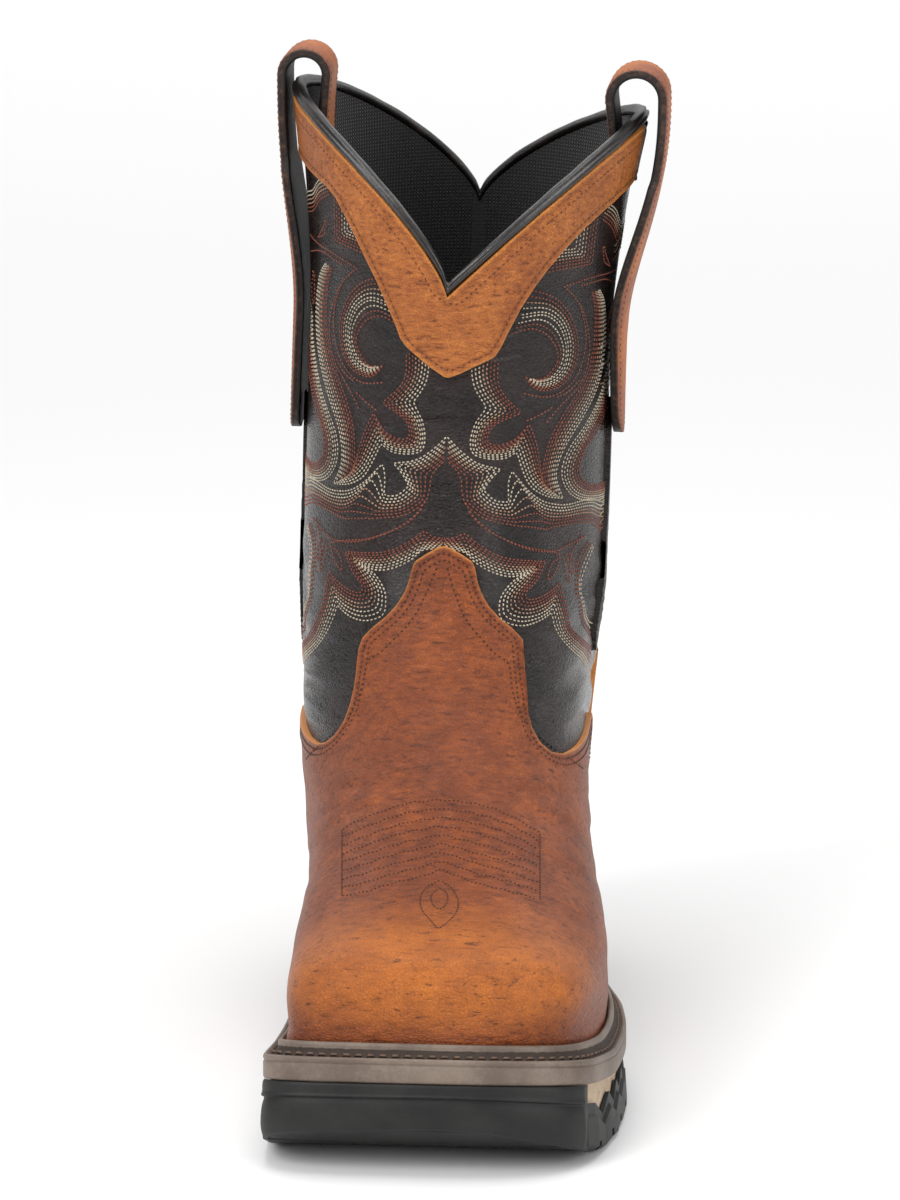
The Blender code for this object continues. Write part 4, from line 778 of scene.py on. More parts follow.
# The first row of stitches lies this far inside a cut edge, the second this far
FIRST_ROW_IN, SECOND_ROW_IN = 0.0018, 0.0040
EDGE_PITCH = 0.0019
VAMP_PITCH = 0.0015
# The thread pulls the leather in along the first row; creases fade out towards a cut edge
PULLED_IN, PULL_WIDTH = 0.00022, 0.0007
RELIEF_FADE = 0.004
VAMP_REAR_Y = TOE_Y + 0.232
VAMP_REAR_SLOPE = 0.25
# The vamp's edge before the shaft: sideways from its middle and up, in millimetres
VAMP_EDGE = np.array([
    (0.0, 174.0), (2.2, 173.3), (5.5, 171.4), (9.6, 168.6), (10.5, 166.6), (11.2, 162.5), (12.8, 158.0),
    (15.4, 153.8), (19.0, 149.8), (23.2, 146.2), (26.6, 142.4), (27.8, 138.0), (27.9, 133.0), (28.3, 127.5),
    (29.4, 121.5), (31.3, 116.0), (34.2, 111.4), (37.8, 108.0), (41.5, 106.2), (46.0, 105.6), (51.0, 106.4),
    (153.0, 106.4),
]) / 1000
VAMP_MIDDLE = FOOT_SECTIONS[-1][2] * BALL_WIDTH + 0.0036 + FOOT_LINE
# Creases of the foot as seen from the front: sideways and up the leather, in millimetres
VAMP_CREASES = (
    (-46, 88, -22, 92, 0.45, 1.6), (-44, 82, -18, 84, 0.40, 1.5), (-42, 75, -26, 80, 0.40, 1.6),
    (-48, 97, -34, 101, 0.40, 1.5), (20, 92, 46, 86, 0.40, 1.6), (24, 84, 50, 76, 0.45, 1.8),
    (30, 70, 52, 60, 0.45, 2.0), (-50, 66, -36, 72, 0.40, 1.8), (28, 99, 46, 96, 0.35, 1.5),
    (36, 54, 54, 46, 0.40, 2.0), (-20, 61, 4, 64, 0.22, 1.6), (6, 68, 26, 66, 0.22, 1.6),
    (-48, 56, -38, 62, 0.35, 1.8), (-14, 108, 12, 110, 0.25, 1.6), (-10, 118, 14, 116, 0.22, 1.6),
)


def vamp_field(points):
    """Below 0 on the vamp: under its scalloped edge and ahead of its rear seam."""
    across = np.abs(points[..., 0] - VAMP_MIDDLE)
    across = np.where(points[..., 1] > SHAFT_MIDDLE_Y - 0.10 * SHAFT_DEPTH, VAMP_EDGE[-1, 0], across)
    edge = np.interp(across, VAMP_EDGE[:, 0], VAMP_EDGE[:, 1])
    rear = VAMP_REAR_Y - np.maximum(0, points[..., 2] - SEAT_HEIGHT) * VAMP_REAR_SLOPE
    return np.maximum(points[..., 2] - edge, points[..., 1] - rear)


HALVINGS = 34


def edge_row(field, line, low, high):
    """The row on each line at which the field changes from its sign at low."""
    low, high = np.full(line.shape, low, dtype=float), np.full(line.shape, high, dtype=float)
    start = field(on_last(low, line)) < 0
    for _ in range(HALVINGS):
        middle = (low + high) / 2
        same = (field(on_last(middle, line)) < 0) == start
        low, high = np.where(same, middle, low), np.where(same, high, middle)
    return (low + high) / 2


def cut_panel(name, wide, high, lines, low_row, high_row, low_rim, high_rim, relief):
    """A piece of leather laid on the upper between two rows on each line, with rounded raw edges.

    Its second pattern holds the distance from the nearest cut edge.
    """
    first, last = (len(RIM) if low_rim else 0), (len(RIM) if high_rim else 0)

    def place(across, up):
        k = np.rint(up * high).astype(int)
        line = np.interp(across, np.linspace(0, 1, len(lines)), lines)
        bottom, top = np.interp(line, lines, low_row), np.interp(line, lines, high_row)
        share = np.clip((k - first) / (high - first - last), 0, 1)
        # A piece that starts at the seat has level rows for most of its way up, so that they don't fan out
        common = min(top) * 0.93 if max(low_row) == 0 else None
        if common is None:
            row = bottom + (top - bottom) * share
        else:
            row = np.where(share < 0.6, common * share / 0.6, common + (top - common) * (share - 0.6) / 0.4)
        points, out = on_last(row, line), facing(row, line)
        thick, push = np.ones(len(k)), np.zeros(len(k))
        for n, (level, reach) in enumerate(RIM, 1):
            if low_rim:
                thick[k == first - n], push[k == first - n] = level, -reach
            if high_rim:
                thick[k == high - last + n], push[k == high - last + n] = level, reach
        on_seat = (row < 0.05) | ((np.abs(line) > 0.999) & (row < HEEL_ROW))
        out = unit(np.where(on_seat[:, None], out * np.array([1, 1, 0.0]), out))
        up_way = unit(on_last(row + 0.05, line) - on_last(row - 0.05, line))
        cut_edges = []
        if low_rim:
            cut_edges.append(on_last(low_row, lines))
        if high_rim:
            cut_edges.append(on_last(high_row, lines))
        away = np.full(len(k), 1.0)
        for edge in cut_edges:
            for block in range(0, len(k), 4000):
                part = points[block:block + 4000]
                gap = np.full(len(part), 1.0)
                for piece in np.array_split(edge, 12):
                    gap = np.minimum(gap, np.linalg.norm(part[:, None] - piece[None], axis=2).min(axis=1))
                away[block:block + 4000] = np.minimum(away[block:block + 4000], gap)
        stitched = np.exp(-((away - FIRST_ROW_IN) / PULL_WIDTH) ** 2)
        lift = (OVERLAY + relief(points) * np.clip(away / RELIEF_FADE, 0, 1) - PULLED_IN * stitched) * thick
        turn, height = round_the_shaft(points)
        from_edge = np.where(thick < 1, -0.001, away)
        maps = {"leather": np.stack([turn, height], 1), "edge": np.stack([from_edge, thick], 1)}
        return points + out * lift[:, None] + up_way * push[:, None], maps

    piece = grid_sheet(name, wide, high, place)
    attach(piece, "root")
    return piece


def vamp_relief(points):
    """The vamp's creases and its soft, uneven swell."""
    up = points[:, 2] * 0.978 + points[:, 1] * 0.208
    lumps = 0.00022 * np.sin(points[:, 0] * 230 + 1.3 * np.sin(up * 160)) * np.sin(up * 250 + points[:, 0] * 90)
    return folds(points[:, 0] * 1000, up * 1000, VAMP_CREASES) / 1000 + lumps


vamp_lines = np.linspace(-1, 1, 1601)
vamp_top = edge_row(vamp_field, vamp_lines, 0.5, TOP_ROW)
no_rows = np.zeros(len(vamp_lines))
vamp = cut_panel("vamp_leather", 330, 190, vamp_lines, no_rows, vamp_top, False, True, vamp_relief)
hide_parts("vamp")


def pull_up_leather(name, dark, middle, light, toe_burnish_and_highlight):
    """Oily rust-coloured leather: cloudy, finely grained, with a bright raw edge, painted shade in its wrinkles and
    beside its first stitch row, and a lighter toe that is partly burnish and partly painted highlight.
    """
    leather = Finish(name, Coat_Roughness=0.35, Specular_IOR_Level=0.34)
    place = leather.spot()
    _, y, z = leather.axes(place)
    cloud = leather.noise(place, 24.0, 5.0, 0.6, 0.4)
    spots = leather.noise(place, 120.0, 4.0, 0.6)
    grain = leather.cells(place, 820.0, "DISTANCE_TO_EDGE")
    wrinkle = leather.noise(leather.scaled(place, (1.0, 1.0, 1.9)), 230.0, 5.0, 0.65, 0.9)
    away = leather.axes(leather.pattern("edge"))[0]
    streak = leather.noise(leather.scaled(place, (0.55, 1.6, 2.1)), 330.0, 5.0, 0.7, 0.5)
    colour = leather.mix(dark, middle, (cloud * 0.30 + spots * 0.20 + streak * 0.58).ramp(0.38, 0.70))
    colour = leather.mix(colour, light, (cloud * 0.35 + streak * 0.65).ramp(0.54, 0.70) * 0.50)
    # The toe's crown is lightened: partly burnished leather, partly a painted highlight where the light falls on it
    if toe_burnish_and_highlight:
        toe = (0 - y).ramp(0.088, 0.142) * z.ramp(0.042, 0.060)
        colour = leather.mix(colour, toe_burnish_and_highlight, toe * (0.42 + (spots * 0.5 + cloud * 0.5).ramp(0.36, 0.66) * 0.48))
        waist = (y + 0.055).near(0.0, 0.075) * (1 - spots.ramp(0.40, 0.62))
        colour = leather.mix(colour, dark, waist * 0.55)
    colour = leather.mix(colour, tuple(c * 0.5 for c in dark), (1 - grain.ramp(0.0, 0.13)) * 0.30)
    colour = leather.mix(colour, tuple(c * 0.30 for c in dark), (1 - streak.ramp(0.30, 0.43)) * 0.80)
    # Painted shade: the troughs of the wrinkles are darkened
    colour = leather.mix(colour, tuple(c * 0.30 for c in dark), (1 - wrinkle.ramp(0.29, 0.41)) * 0.70)
    # Darker along the first stitch row: partly darker burnish, partly painted shade in the groove the thread pulls in
    colour = leather.mix(colour, tuple(c * 0.6 for c in dark), away.near(0.0019, 0.0011) * 0.30)
    colour = leather.mix(colour, (0.58, 0.215, 0.045), 1 - away.ramp(-0.0008, 0.0009))
    height = grain.ramp(0.0, 0.3) * 0.22 + wrinkle * 0.8 + streak * 0.9 + spots * 0.25
    leather.dress(
        Base_Color=colour, Roughness=0.34 + cloud * 0.18 + (1 - streak.ramp(0.3, 0.5)) * 0.12,
        Coat_Weight=0.06 + cloud.ramp(0.5, 0.8) * 0.10, Normal=leather.bump(height, 0.00110, 0.85))
    return leather


# The last colour is the burnished toe together with its painted highlight
rust_leather = pull_up_leather(
    "rust_pull_up_leather", (0.150, 0.032, 0.0085), (0.315, 0.074, 0.0130), (0.46, 0.130, 0.024),
    (0.56, 0.160, 0.016))
rust_leather.wear(vamp)

# The vamp is sewn with dark thread: two rows inside its edge, one deeper row up the tongue, and a block of
# shallow arcs over a pointed drop. Places as seen from the front, across and up from the middle, in mm.
UPPER_ARC = ((-36.9, -78.2), (-29.4, -74.4), (-21.8, -71.7), (-15.0, -69.5), (-8.9, -68.7), (-3.4, -68.3),
             (2.7, -68.7), (8.9, -69.6), (15.7, -71.5), (23.2, -74.9), (30.7, -79.6))
LOWER_ARC = ((-36.9, -101.0), (-29.4, -99.7), (-21.8, -97.3), (-15.0, -95.6), (-8.9, -94.2), (-3.4, -92.2),
             (2.7, -94.2), (8.9, -96.6), (15.7, -98.3), (23.2, -100.2), (30.7, -102.4))
DROP = ((-3.4, -95.6), (-8.2, -98.3), (-10.2, -101.7), (-9.6, -105.8), (-6.8, -109.2), (-4.1, -112.3),
        (-0.7, -109.9), (2.4, -106.1), (2.7, -102.4), (0.7, -98.6), (-2.7, -95.9))
EYE = ((-3.4, -98.0), (-6.1, -100.3), (-6.5, -102.4), (-5.1, -104.8), (-3.1, -105.5), (-1.0, -103.1),
       (-1.0, -100.3), (-3.4, -98.1))
TONGUE_ROW = ((0, 168), (-3, 158.5), (-6, 151), (-10, 145), (-14, 139.5), (-17, 136.5), (-17, 128), (-18.5, 120),
              (-23, 112), (-30, 104), (-35, 99))
TARGET = Vector((FOOT_LINE, 0.0, 0.1583))
turn, rise = math.radians(5), math.radians(12)
VIEW_WAY = Vector((math.sin(turn) * math.cos(rise), -math.cos(turn) * math.cos(rise), math.sin(rise)))
VIEW_RIGHT = Vector((math.cos(turn), math.sin(turn), 0.0))
VIEW_UP = VIEW_WAY.cross(VIEW_RIGHT)
VIEW_DISTANCE = 2.3


def seen_on(tree, run):
    """Points and outward directions where a run, drawn as seen from the front, falls on the leather."""
    eye = TARGET + VIEW_WAY * VIEW_DISTANCE
    places, ways = [], []
    for across, up in run:
        through = TARGET + VIEW_RIGHT * (across / 1000) + VIEW_UP * (up / 1000)
        hit, normal = tree.ray_cast(eye, (through - eye).normalized())[:2]
        if hit is not None:
            places.append(hit)
            ways.append(normal if normal.dot(VIEW_WAY) > 0 else -normal)
    return np.array(places), np.array(ways)


def inside_edge(tree, rows, lines, inset):
    """A run on the leather a little way inside a cut edge, which has the piece on its right hand from outside."""
    edge, out = on_last(rows, lines), facing(rows, lines)
    spots = edge + unit(np.cross(unit(np.gradient(edge, axis=0)), out)) * inset + out * 0.0016
    kernel = np.ones(9) / 9
    spots[4:-4] = np.stack([np.convolve(spots[:, k], kernel, "valid") for k in range(3)], 1)
    places, ways, kept = [], [], None
    for spot in spots:
        near, normal = tree.find_nearest(Vector(spot))[:2]
        if kept is None or (near - kept).length > 0.0002:
            places.append(near)
            ways.append(normal)
            kept = near
    return np.array(places), np.array(ways)


vamp_tree = tree_of(vamp)
vamp_stitches = []
above = on_last(vamp_top, vamp_lines)[:, 2] > 0.056
edge_rows, edge_lines = vamp_top[above][::2], vamp_lines[above][::2]
for inset in (FIRST_ROW_IN, SECOND_ROW_IN):
    vamp_stitches += stitches_along(*inside_edge(vamp_tree, edge_rows, edge_lines, inset), EDGE_PITCH)
for k in range(9):
    run = rounded_run(np.array(UPPER_ARC) * (1 - k / 8) + np.array(LOWER_ARC) * (k / 8))
    run[:, 1] += 0.25 * np.sin(run[:, 0] * 0.9 + k * 2.1)
    vamp_stitches += stitches_along(*seen_on(vamp_tree, run), VAMP_PITCH, k * STAGGER % 1.0)
block_ends = [np.linspace(UPPER_ARC[k], LOWER_ARC[k], 20) for k in (0, -1)]
for run in (rounded_run(DROP, (5,)), rounded_run(EYE), *block_ends):
    vamp_stitches += stitches_along(*seen_on(vamp_tree, run), VAMP_PITCH)
tongue_run = rounded_run(TONGUE_ROW)
for run in (tongue_run, np.stack([2 * MIDDLE - tongue_run[:, 0], tongue_run[:, 1]], 1)):
    vamp_stitches += stitches_along(*seated(vamp_tree, run), EDGE_PITCH)
sewn("vamp_stitching", vamp_stitches, (0.036, 0.012, 0.006), 0.00070, 0.64)

# ---------------------------------------------------------------------------------------------
# Heel counter: a stiff piece of the same rust leather, moulded round the heel in two halves that meet
# at the back line, and sewn over the foot of the shaft.
# ---------------------------------------------------------------------------------------------
COUNTER_FRONT_Y = TOE_Y + 0.2326
COUNTER_FRONT_SLOPE = 0.55
COUNTER_HEIGHT = 0.124
COUNTER_DROP = 0.012


def counter_front(points):
    """Below 0 ahead of the counter's sloping front edge."""
    return points[..., 1] - (COUNTER_FRONT_Y + np.maximum(0, points[..., 2] - SEAT_HEIGHT) * COUNTER_FRONT_SLOPE)


def counter_top(points):
    """Below 0 under the counter's top edge, which drops a little towards the front."""
    ahead = np.clip((SHAFT_MIDDLE_Y + SHAFT_DEPTH / 2 - points[..., 1]) / (SHAFT_DEPTH * 0.55), 0, 1)
    return points[..., 2] - (COUNTER_HEIGHT - COUNTER_DROP * ahead)


def counter_relief(points):
    """The counter's faint unevenness."""
    return 0.00018 * np.sin(points[:, 2] * 190 + points[:, 0] * 120)


for side, name in ((-1, "medial"), (1, "lateral")):
    lines = np.sort(np.linspace(0.40, 1.0, 481) * side)
    front = edge_row(counter_front, lines, INSTEP_ROW, TOP_ROW)
    top = edge_row(counter_top, lines, INSTEP_ROW, TOP_ROW)
    inside = np.nonzero(front < top)[0]
    corner = min(inside) - 1 if side > 0 else max(inside) + 1
    front[corner] = top[corner]
    kept = np.sort(np.append(inside, corner))
    lines, front, top = lines[kept], front[kept], top[kept]
    counter = cut_panel(f"counter_{name}", 90, 90, lines, front, top, True, True, counter_relief)
    if side < 0:
        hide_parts("counter")
    rust_leather.wear(counter)

# ---------------------------------------------------------------------------------------------
# Side seams: a narrow strip of the same dark leather as the shaft, folded over the join of its two
# panels with a raised bead along each side, and sewn down from under the pull strap to the ankle.
# ---------------------------------------------------------------------------------------------
SEAM_HALF_WIDTH = 0.0035
SEAM_LOW_END, SEAM_HIGH_END = 0.1155, 0.2160
BEAD = 0.00055
SEAM_EDGE_SUNK = 0.0048
# The strip's outermost part, as a share of its half width, is turned in under it
TURNED_IN = 0.93


def seam_relief(points):
    """The strip is thinner than the other pieces."""
    return np.full(len(points), -0.0004)


for side, name in ((-1, "medial"), (1, "lateral")):
    half = SEAM_HALF_WIDTH / (SHAFT_DEPTH / 2) / math.pi
    lines = np.linspace(0.5 * side - half, 0.5 * side + half, 41)
    low = edge_row(lambda points: points[..., 2] - SEAM_LOW_END, lines, ANKLE_ROW, TOP_ROW)
    high = edge_row(lambda points: points[..., 2] - SEAM_HIGH_END, lines, ANKLE_ROW, TOP_ROW)
    strip = cut_panel(f"side_seam_{name}_strip", 14, 90, lines, low, high, False, False, seam_relief)
    shape = np.empty(len(strip.data.vertices) * 3, dtype=np.float32)
    strip.data.vertices.foreach_get("co", shape)
    shape = shape.reshape(-1, 3)
    off = np.clip(np.abs(shape[:, 1] - SHAFT_MIDDLE_Y) / SEAM_HALF_WIDTH, 0, 1)
    sunk = np.where(off > TURNED_IN, SEAM_EDGE_SUNK, 0.0004 - BEAD * np.abs(np.sin(off * math.pi * 1.5)) ** 0.6)
    shape[:, 0] -= side * sunk
    strip.data.vertices.foreach_set("co", shape.ravel())
    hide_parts(f"side_seam_{name}")
    glazed.wear(strip)

# ---------------------------------------------------------------------------------------------
# Collar bands: pebbled tan leather round the top of the shaft, cut to a blunt point under each dip.
# The front one is one piece and the back one is two; all are sewn on with a row along each edge.
# ---------------------------------------------------------------------------------------------
BAND_PITCH = 0.0021
BAND_LOW_IN, BAND_HIGH_IN = 0.0019, 0.0042
# The front band's lower edge, round from the front and up, in millimetres
FRONT_EDGE = np.array([
    (-95, 303.5), (-70, 300.5), (-60, 298), (-50, 295), (-45, 292), (-40, 286.5), (-35, 280), (-30, 272.5), (-25, 265),
    (-20, 256), (-17, 250), (-15.2, 245.8), (-13.2, 243.4), (-10, 240.8), (-5, 236.8), (0, 233.4), (1.5, 233),
    (5, 234.3), (10, 236.8), (15, 239), (17, 240.2), (18.8, 243), (21, 248), (25, 256), (30, 263.5), (35, 269.5),
    (40, 274.3), (45, 278.5), (50, 282), (55, 284.7), (60, 287), (70, 290.5), (95, 296),
]) / 1000
# The back band: how far its edge lies below the collar, by the angle from the back seam
BACK_BAND = np.array([(0, 27.0), (10, 29.8), (16, 31.8), (19, 27.4), (25, 23.2), (40, 21.9), (90, 21.3)])


def front_band_field(points):
    """Below 0 under the front band's lower edge."""
    turn, height = round_the_shaft(points)
    return height - np.interp(turn, FRONT_EDGE[:, 0], FRONT_EDGE[:, 1])


def collar_edge(points):
    """Height of the collar's edge over some points, and their angle from the front in degrees."""
    turn = np.degrees(np.interp(round_the_shaft(points)[0], ARC_LENGTH, ARC_TURN))
    heights = np.array([collar_height(t / 4) for t in range(-720, 721)])
    slope = PEAK_SLOPE * (points[..., 0] - FOOT_LINE - AXIS_X)
    return np.interp(turn, np.arange(-720, 721) / 4, heights) - slope, turn


def back_band_field(points):
    """Below 0 under the back band's lower edge."""
    edge, turn = collar_edge(points)
    return points[..., 2] - (edge - np.interp(180 - np.abs(turn), BACK_BAND[:, 0], BACK_BAND[:, 1]) / 1000)


def under_binding(points):
    """Below 0 under the line where the bands end beneath the binding."""
    return points[..., 2] - (collar_edge(points)[0] - 0.0010)


def band_relief(points):
    """The bands' faint unevenness."""
    return 0.00016 * np.sin(points[:, 2] * 210 + points[:, 0] * 160) * np.sin(points[:, 0] * 190)


tan_leather = pull_up_leather(
    "tan_collar_leather", (0.27, 0.070, 0.0130), (0.52, 0.165, 0.030), (0.66, 0.270, 0.062), None)
for name, field, spans in (
    ("front", front_band_field, {"": (-0.48, 0.48)}),
    ("back", back_band_field, {"_medial": (-1.0, -0.52), "_lateral": (0.52, 1.0)}),
):
    for half, (start, stop) in spans.items():
        lines = np.linspace(start, stop, 961 if name == "front" else 481)
        low = edge_row(field, lines, LEVEL_ROW - 4.0, TOP_ROW)
        high = edge_row(under_binding, lines, LEVEL_ROW, TOP_ROW)
        band = cut_panel(f"collar_{name}_band{half}", len(lines) // 3, 60, lines, low, high, True, True, band_relief)
        if half != "_lateral":
            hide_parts(f"collar_{name}")
        tan_leather.wear(band)

bands = [bpy.data.objects[f"collar_{end}"] for end in ("front_band", "back_band_medial", "back_band_lateral")]
band_tree = tree_of(*bands)
band_stitches = []
for field, start, stop, count in (
    (front_band_field, -0.45, 0.45, 500), (back_band_field, -1.0, -0.55, 250), (back_band_field, 0.55, 1.0, 250),
):
    lines = np.linspace(start, stop, count)
    low = edge_row(field, lines, LEVEL_ROW - 4.0, TOP_ROW)
    high = edge_row(under_binding, lines, LEVEL_ROW, TOP_ROW)
    band_stitches += stitches_along(*inside_edge(band_tree, low[::-1], lines[::-1], BAND_LOW_IN), BAND_PITCH)
    band_stitches += stitches_along(*inside_edge(band_tree, high, lines, BAND_HIGH_IN), BAND_PITCH)
sewn("collar_band_stitching", band_stitches, (0.085, 0.026, 0.012), 0.00052, 0.72)

# ---------------------------------------------------------------------------------------------
# Binding: soft black leather rolled over the collar's raw edge in two fine rolls, with a row of
# stitches lost in the groove between them.
# ---------------------------------------------------------------------------------------------
BINDING_HALF_WIDE, BINDING_HALF_HIGH = 0.0025, 0.0022


def binding_face(across, up):
    """A roll round the collar's edge, with one deep dent where the stitches lie and a faint one inside."""
    line = across * 2 - 1
    round_ = up * 2 * math.pi
    top = on_last(np.full(line.shape, float(TOP_ROW)), line)
    held = np.clip(line, -0.995, 0.995)
    out = unit(facing(np.full(line.shape, TOP_ROW - 0.05), held) * np.array([1, 1, 0]))
    middle = top - out * (WALL / 2 - 0.0008)
    dents = np.exp(-((round_ - 0.62) / 0.20) ** 2) * 0.40 + np.exp(-((round_ - 2.55) / 0.25) ** 2) * 0.10
    reach = BINDING_HALF_WIDE * (1 - dents)
    lift = BINDING_HALF_HIGH * (1 - dents)
    wander = 1 + 0.025 * np.sin(line * 97) + 0.02 * np.sin(line * 61 + round_)
    points = middle + out * (reach * wander * np.cos(round_))[:, None]
    points[:, 2] += 0.0021 + lift * wander * np.sin(round_)
    turn, height = round_the_shaft(points)
    return points, {"leather": np.stack([turn, height], 1)}


binding = grid_sheet("collar_roll", 640, 26, binding_face)
join_up(binding, 0.00002)
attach(binding, "root")
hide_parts("collar_binding")

soft_black = Finish("soft_black_binding_leather", Coat_Roughness=0.3)
place = soft_black.spot()
wear = soft_black.noise(place, 75.0, 4.0)
skin_grain = soft_black.noise(soft_black.scaled(place, (1.0, 1.0, 1.4)), 620.0, 4.0, 0.6)
worn = (wear * 0.8 + skin_grain * 0.3).ramp(0.52, 0.80)
soft_black.dress(
    binding, Base_Color=soft_black.mix((0.0060, 0.0045, 0.0042), (0.028, 0.020, 0.017), worn),
    Roughness=0.22 + wear * 0.16, Coat_Weight=0.2, Normal=soft_black.bump(skin_grain + wear * 0.5, 0.0005, 0.5))

# ---------------------------------------------------------------------------------------------
# Pull straps: two plies of leather, rust outside and black inside, edge-sewn, folded over the collar at
# each side. The inner leg is sewn to the lining; the outer leg widens to a leaf and is sewn to the shaft.
# ---------------------------------------------------------------------------------------------
STRAP_WIDTH = 0.0280
STRAP_HALF_THICK = 0.0018
STRAP_LEAF_WIDTH = 0.0400
STRAP_LOW_END = COLLAR_HEIGHT - 0.1145
STRAP_TOP = COLLAR_HEIGHT + 0.0175
STRAP_INNER_END = COLLAR_HEIGHT - 0.0380
STRAP_TIP = 0.018
# Room between the collar's outer face and each leg, and how finely the strap is divided across
STRAP_ROOM_INSIDE, STRAP_ROOM_OUTSIDE = 0.0090, 0.0025
STRAP_STEPS = 8
STRAP_ROW, STRAP_PITCH = 0.80, 0.0022
# How far each strap's outer leg bows out at the collar, and how much lower its arch is
STRAP_STANDS = {-1: (0.0004, -0.003), 1: (0.0032, 0.003)}


def shaft_at(turn, height):
    """A place on the shaft and its outward direction, at an angle from the front and a height."""
    line = np.array([turn / 180.0])
    low, high = np.array([float(HEEL_ROW)]), np.array([float(TOP_ROW)])
    top = on_last(high, line)[0][2]
    level = min(height, top - 0.0005)
    for _ in range(HALVINGS):
        middle = (low + high) / 2
        below = on_last(middle, line)[0][2] < level
        low, high = (middle, high) if below else (low, middle)
    point, out = on_last(low, line)[0], facing(low, line)[0]
    up = unit(on_last(low, line)[0] - on_last(low - 0.2, line)[0])
    return point + up * (height - level) / max(0.2, up[2]), out


def strap_route(side):
    """The strap's stations from its inner end over the arch to its outer end."""
    bow, lower = STRAP_STANDS[side]
    peak = on_last(np.array([float(TOP_ROW)]), np.array([side * 0.5]))[0]
    reach = side * peak[0]
    inner_x = reach - STRAP_ROOM_INSIDE - STRAP_HALF_THICK
    outer_x = reach + STRAP_ROOM_OUTSIDE + bow + STRAP_HALF_THICK
    radius = (outer_x - inner_x) / 2
    arch_z = STRAP_TOP - STRAP_HALF_THICK - radius - lower
    stations = []
    for z in np.linspace(STRAP_INNER_END, arch_z, 14)[:-1]:
        climb = max(0.0, (z - STRAP_INNER_END - 0.012) / (arch_z - STRAP_INNER_END - 0.012))
        stations.append((inner_x, z, climb, "inside"))
    for k in range(19):
        angle = math.pi - math.pi * k / 18
        x = (outer_x + inner_x) / 2 + radius * math.cos(angle)
        stations.append((x, arch_z + radius * math.sin(angle), 1.0, "arch"))
    hug = STRAP_LOW_END + 0.35 * (arch_z - STRAP_LOW_END)
    drops = list(np.linspace(arch_z, STRAP_LOW_END + STRAP_TIP, 44)[1:])
    drops += [STRAP_LOW_END + STRAP_TIP * (1 - math.sin(a)) for a in np.linspace(0.12, math.pi / 2, 12)]
    for z in drops:
        share = min(1.0, max(0.0, (z - hug) / (arch_z - hug)))
        stations.append((outer_x, z, share * share * (3 - 2 * share), "outside"))
    return stations, arch_z, peak


def strap_middle(side, station, arch_z, peak, k):
    """The middle of the strap's thickness at a station, k from -1 to 1 across it."""
    x, z, share, leg = station
    half = STRAP_WIDTH / 2
    if leg == "outside":
        low = (z - STRAP_LOW_END) / (arch_z - STRAP_LOW_END)
        swell = math.sin(math.pi * min(1.0, (1 - low) * 1.15)) if low < 0.75 else 0.0
        half += (STRAP_LEAF_WIDTH - STRAP_WIDTH) / 2 * max(0.0, swell)
        tip = min(1.0, (z - STRAP_LOW_END) / STRAP_TIP)
        half *= math.sqrt(max(0.02, 1 - (1 - tip) ** 2))
    aside = max(-1.0, min(1.0, k * half / (SHAFT_DEPTH / 2)))
    free = np.array([side * x, SHAFT_MIDDLE_Y + k * half, z])
    if leg == "arch":
        return free
    turn = side * (90 + math.degrees(math.asin(aside)))
    point, out = shaft_at(turn, z if leg == "outside" else min(z, peak[2] - 0.004))
    if leg == "outside":
        return point + out * (0.0024 + STRAP_HALF_THICK) * (1 - share) + (free - point) * share
    hugged = point - out * (WALL + 0.0018 + STRAP_HALF_THICK)
    hugged[2] = z
    return hugged + (free - hugged) * share


def across_strap(grid, station, k):
    """Values of a strap's grid at a station, k from -1 to 1 across it."""
    place = (k + 1) / 2 * STRAP_STEPS
    j = np.minimum(np.asarray(place).astype(int), STRAP_STEPS - 1)
    t = np.asarray(place - j)[..., None]
    return grid[station, j] * (1 - t) + grid[station, j + 1] * t


def strap_section(count):
    """The strap's cross-section, two plies with round edges: across from -1 to 1, and out from -1 to 1."""
    outline = []
    for k in range(count):
        angle = 2 * math.pi * k / count
        across = math.copysign(abs(math.cos(angle)) ** 0.30, math.cos(angle))
        out = math.copysign(abs(math.sin(angle)) ** 0.42, math.sin(angle))
        outline.append((across * (1 - 0.035 * math.exp(-(math.sin(angle) / 0.14) ** 2)), out))
    return outline


two_ply = Finish("two_ply_strap_leather", Coat_Roughness=0.35, Specular_IOR_Level=0.28)
place = two_ply.spot()
across, ply, _ = two_ply.axes(two_ply.pattern("strap"))
cloud = two_ply.noise(place, 40.0, 4.0)
pores = two_ply.cells(place, 780.0, "DISTANCE_TO_EDGE")
wrinkles = two_ply.noise(two_ply.scaled(place, (1.0, 1.0, 1.6)), 260.0, 5.0, 0.6, 0.6)
outside = two_ply.mix((0.26, 0.060, 0.011), (0.46, 0.135, 0.022), (cloud + wrinkles * 0.4).ramp(0.55, 0.85))
outside = two_ply.mix(outside, (0.10, 0.020, 0.006), (1 - pores.ramp(0.0, 0.14)) * 0.35)
outside = two_ply.mix(outside, (0.09, 0.022, 0.008), across.math("ABSOLUTE").near(0.86, 0.055) * 0.4)
edge_tone = two_ply.mix((0.020, 0.012, 0.010), (0.075, 0.038, 0.022), wrinkles.ramp(0.45, 0.7))
colour = two_ply.mix(edge_tone, outside, ply.ramp(0.72, 0.90))
colour = two_ply.mix((0.0085, 0.0060, 0.0055), colour, ply.ramp(-0.35, -0.10))
two_ply.dress(Base_Color=colour, Roughness=0.44 + cloud * 0.16, Coat_Weight=0.03,
              Normal=two_ply.bump(pores.ramp(0.0, 0.3) * 0.3 + wrinkles * 0.8, 0.0005, 0.6))

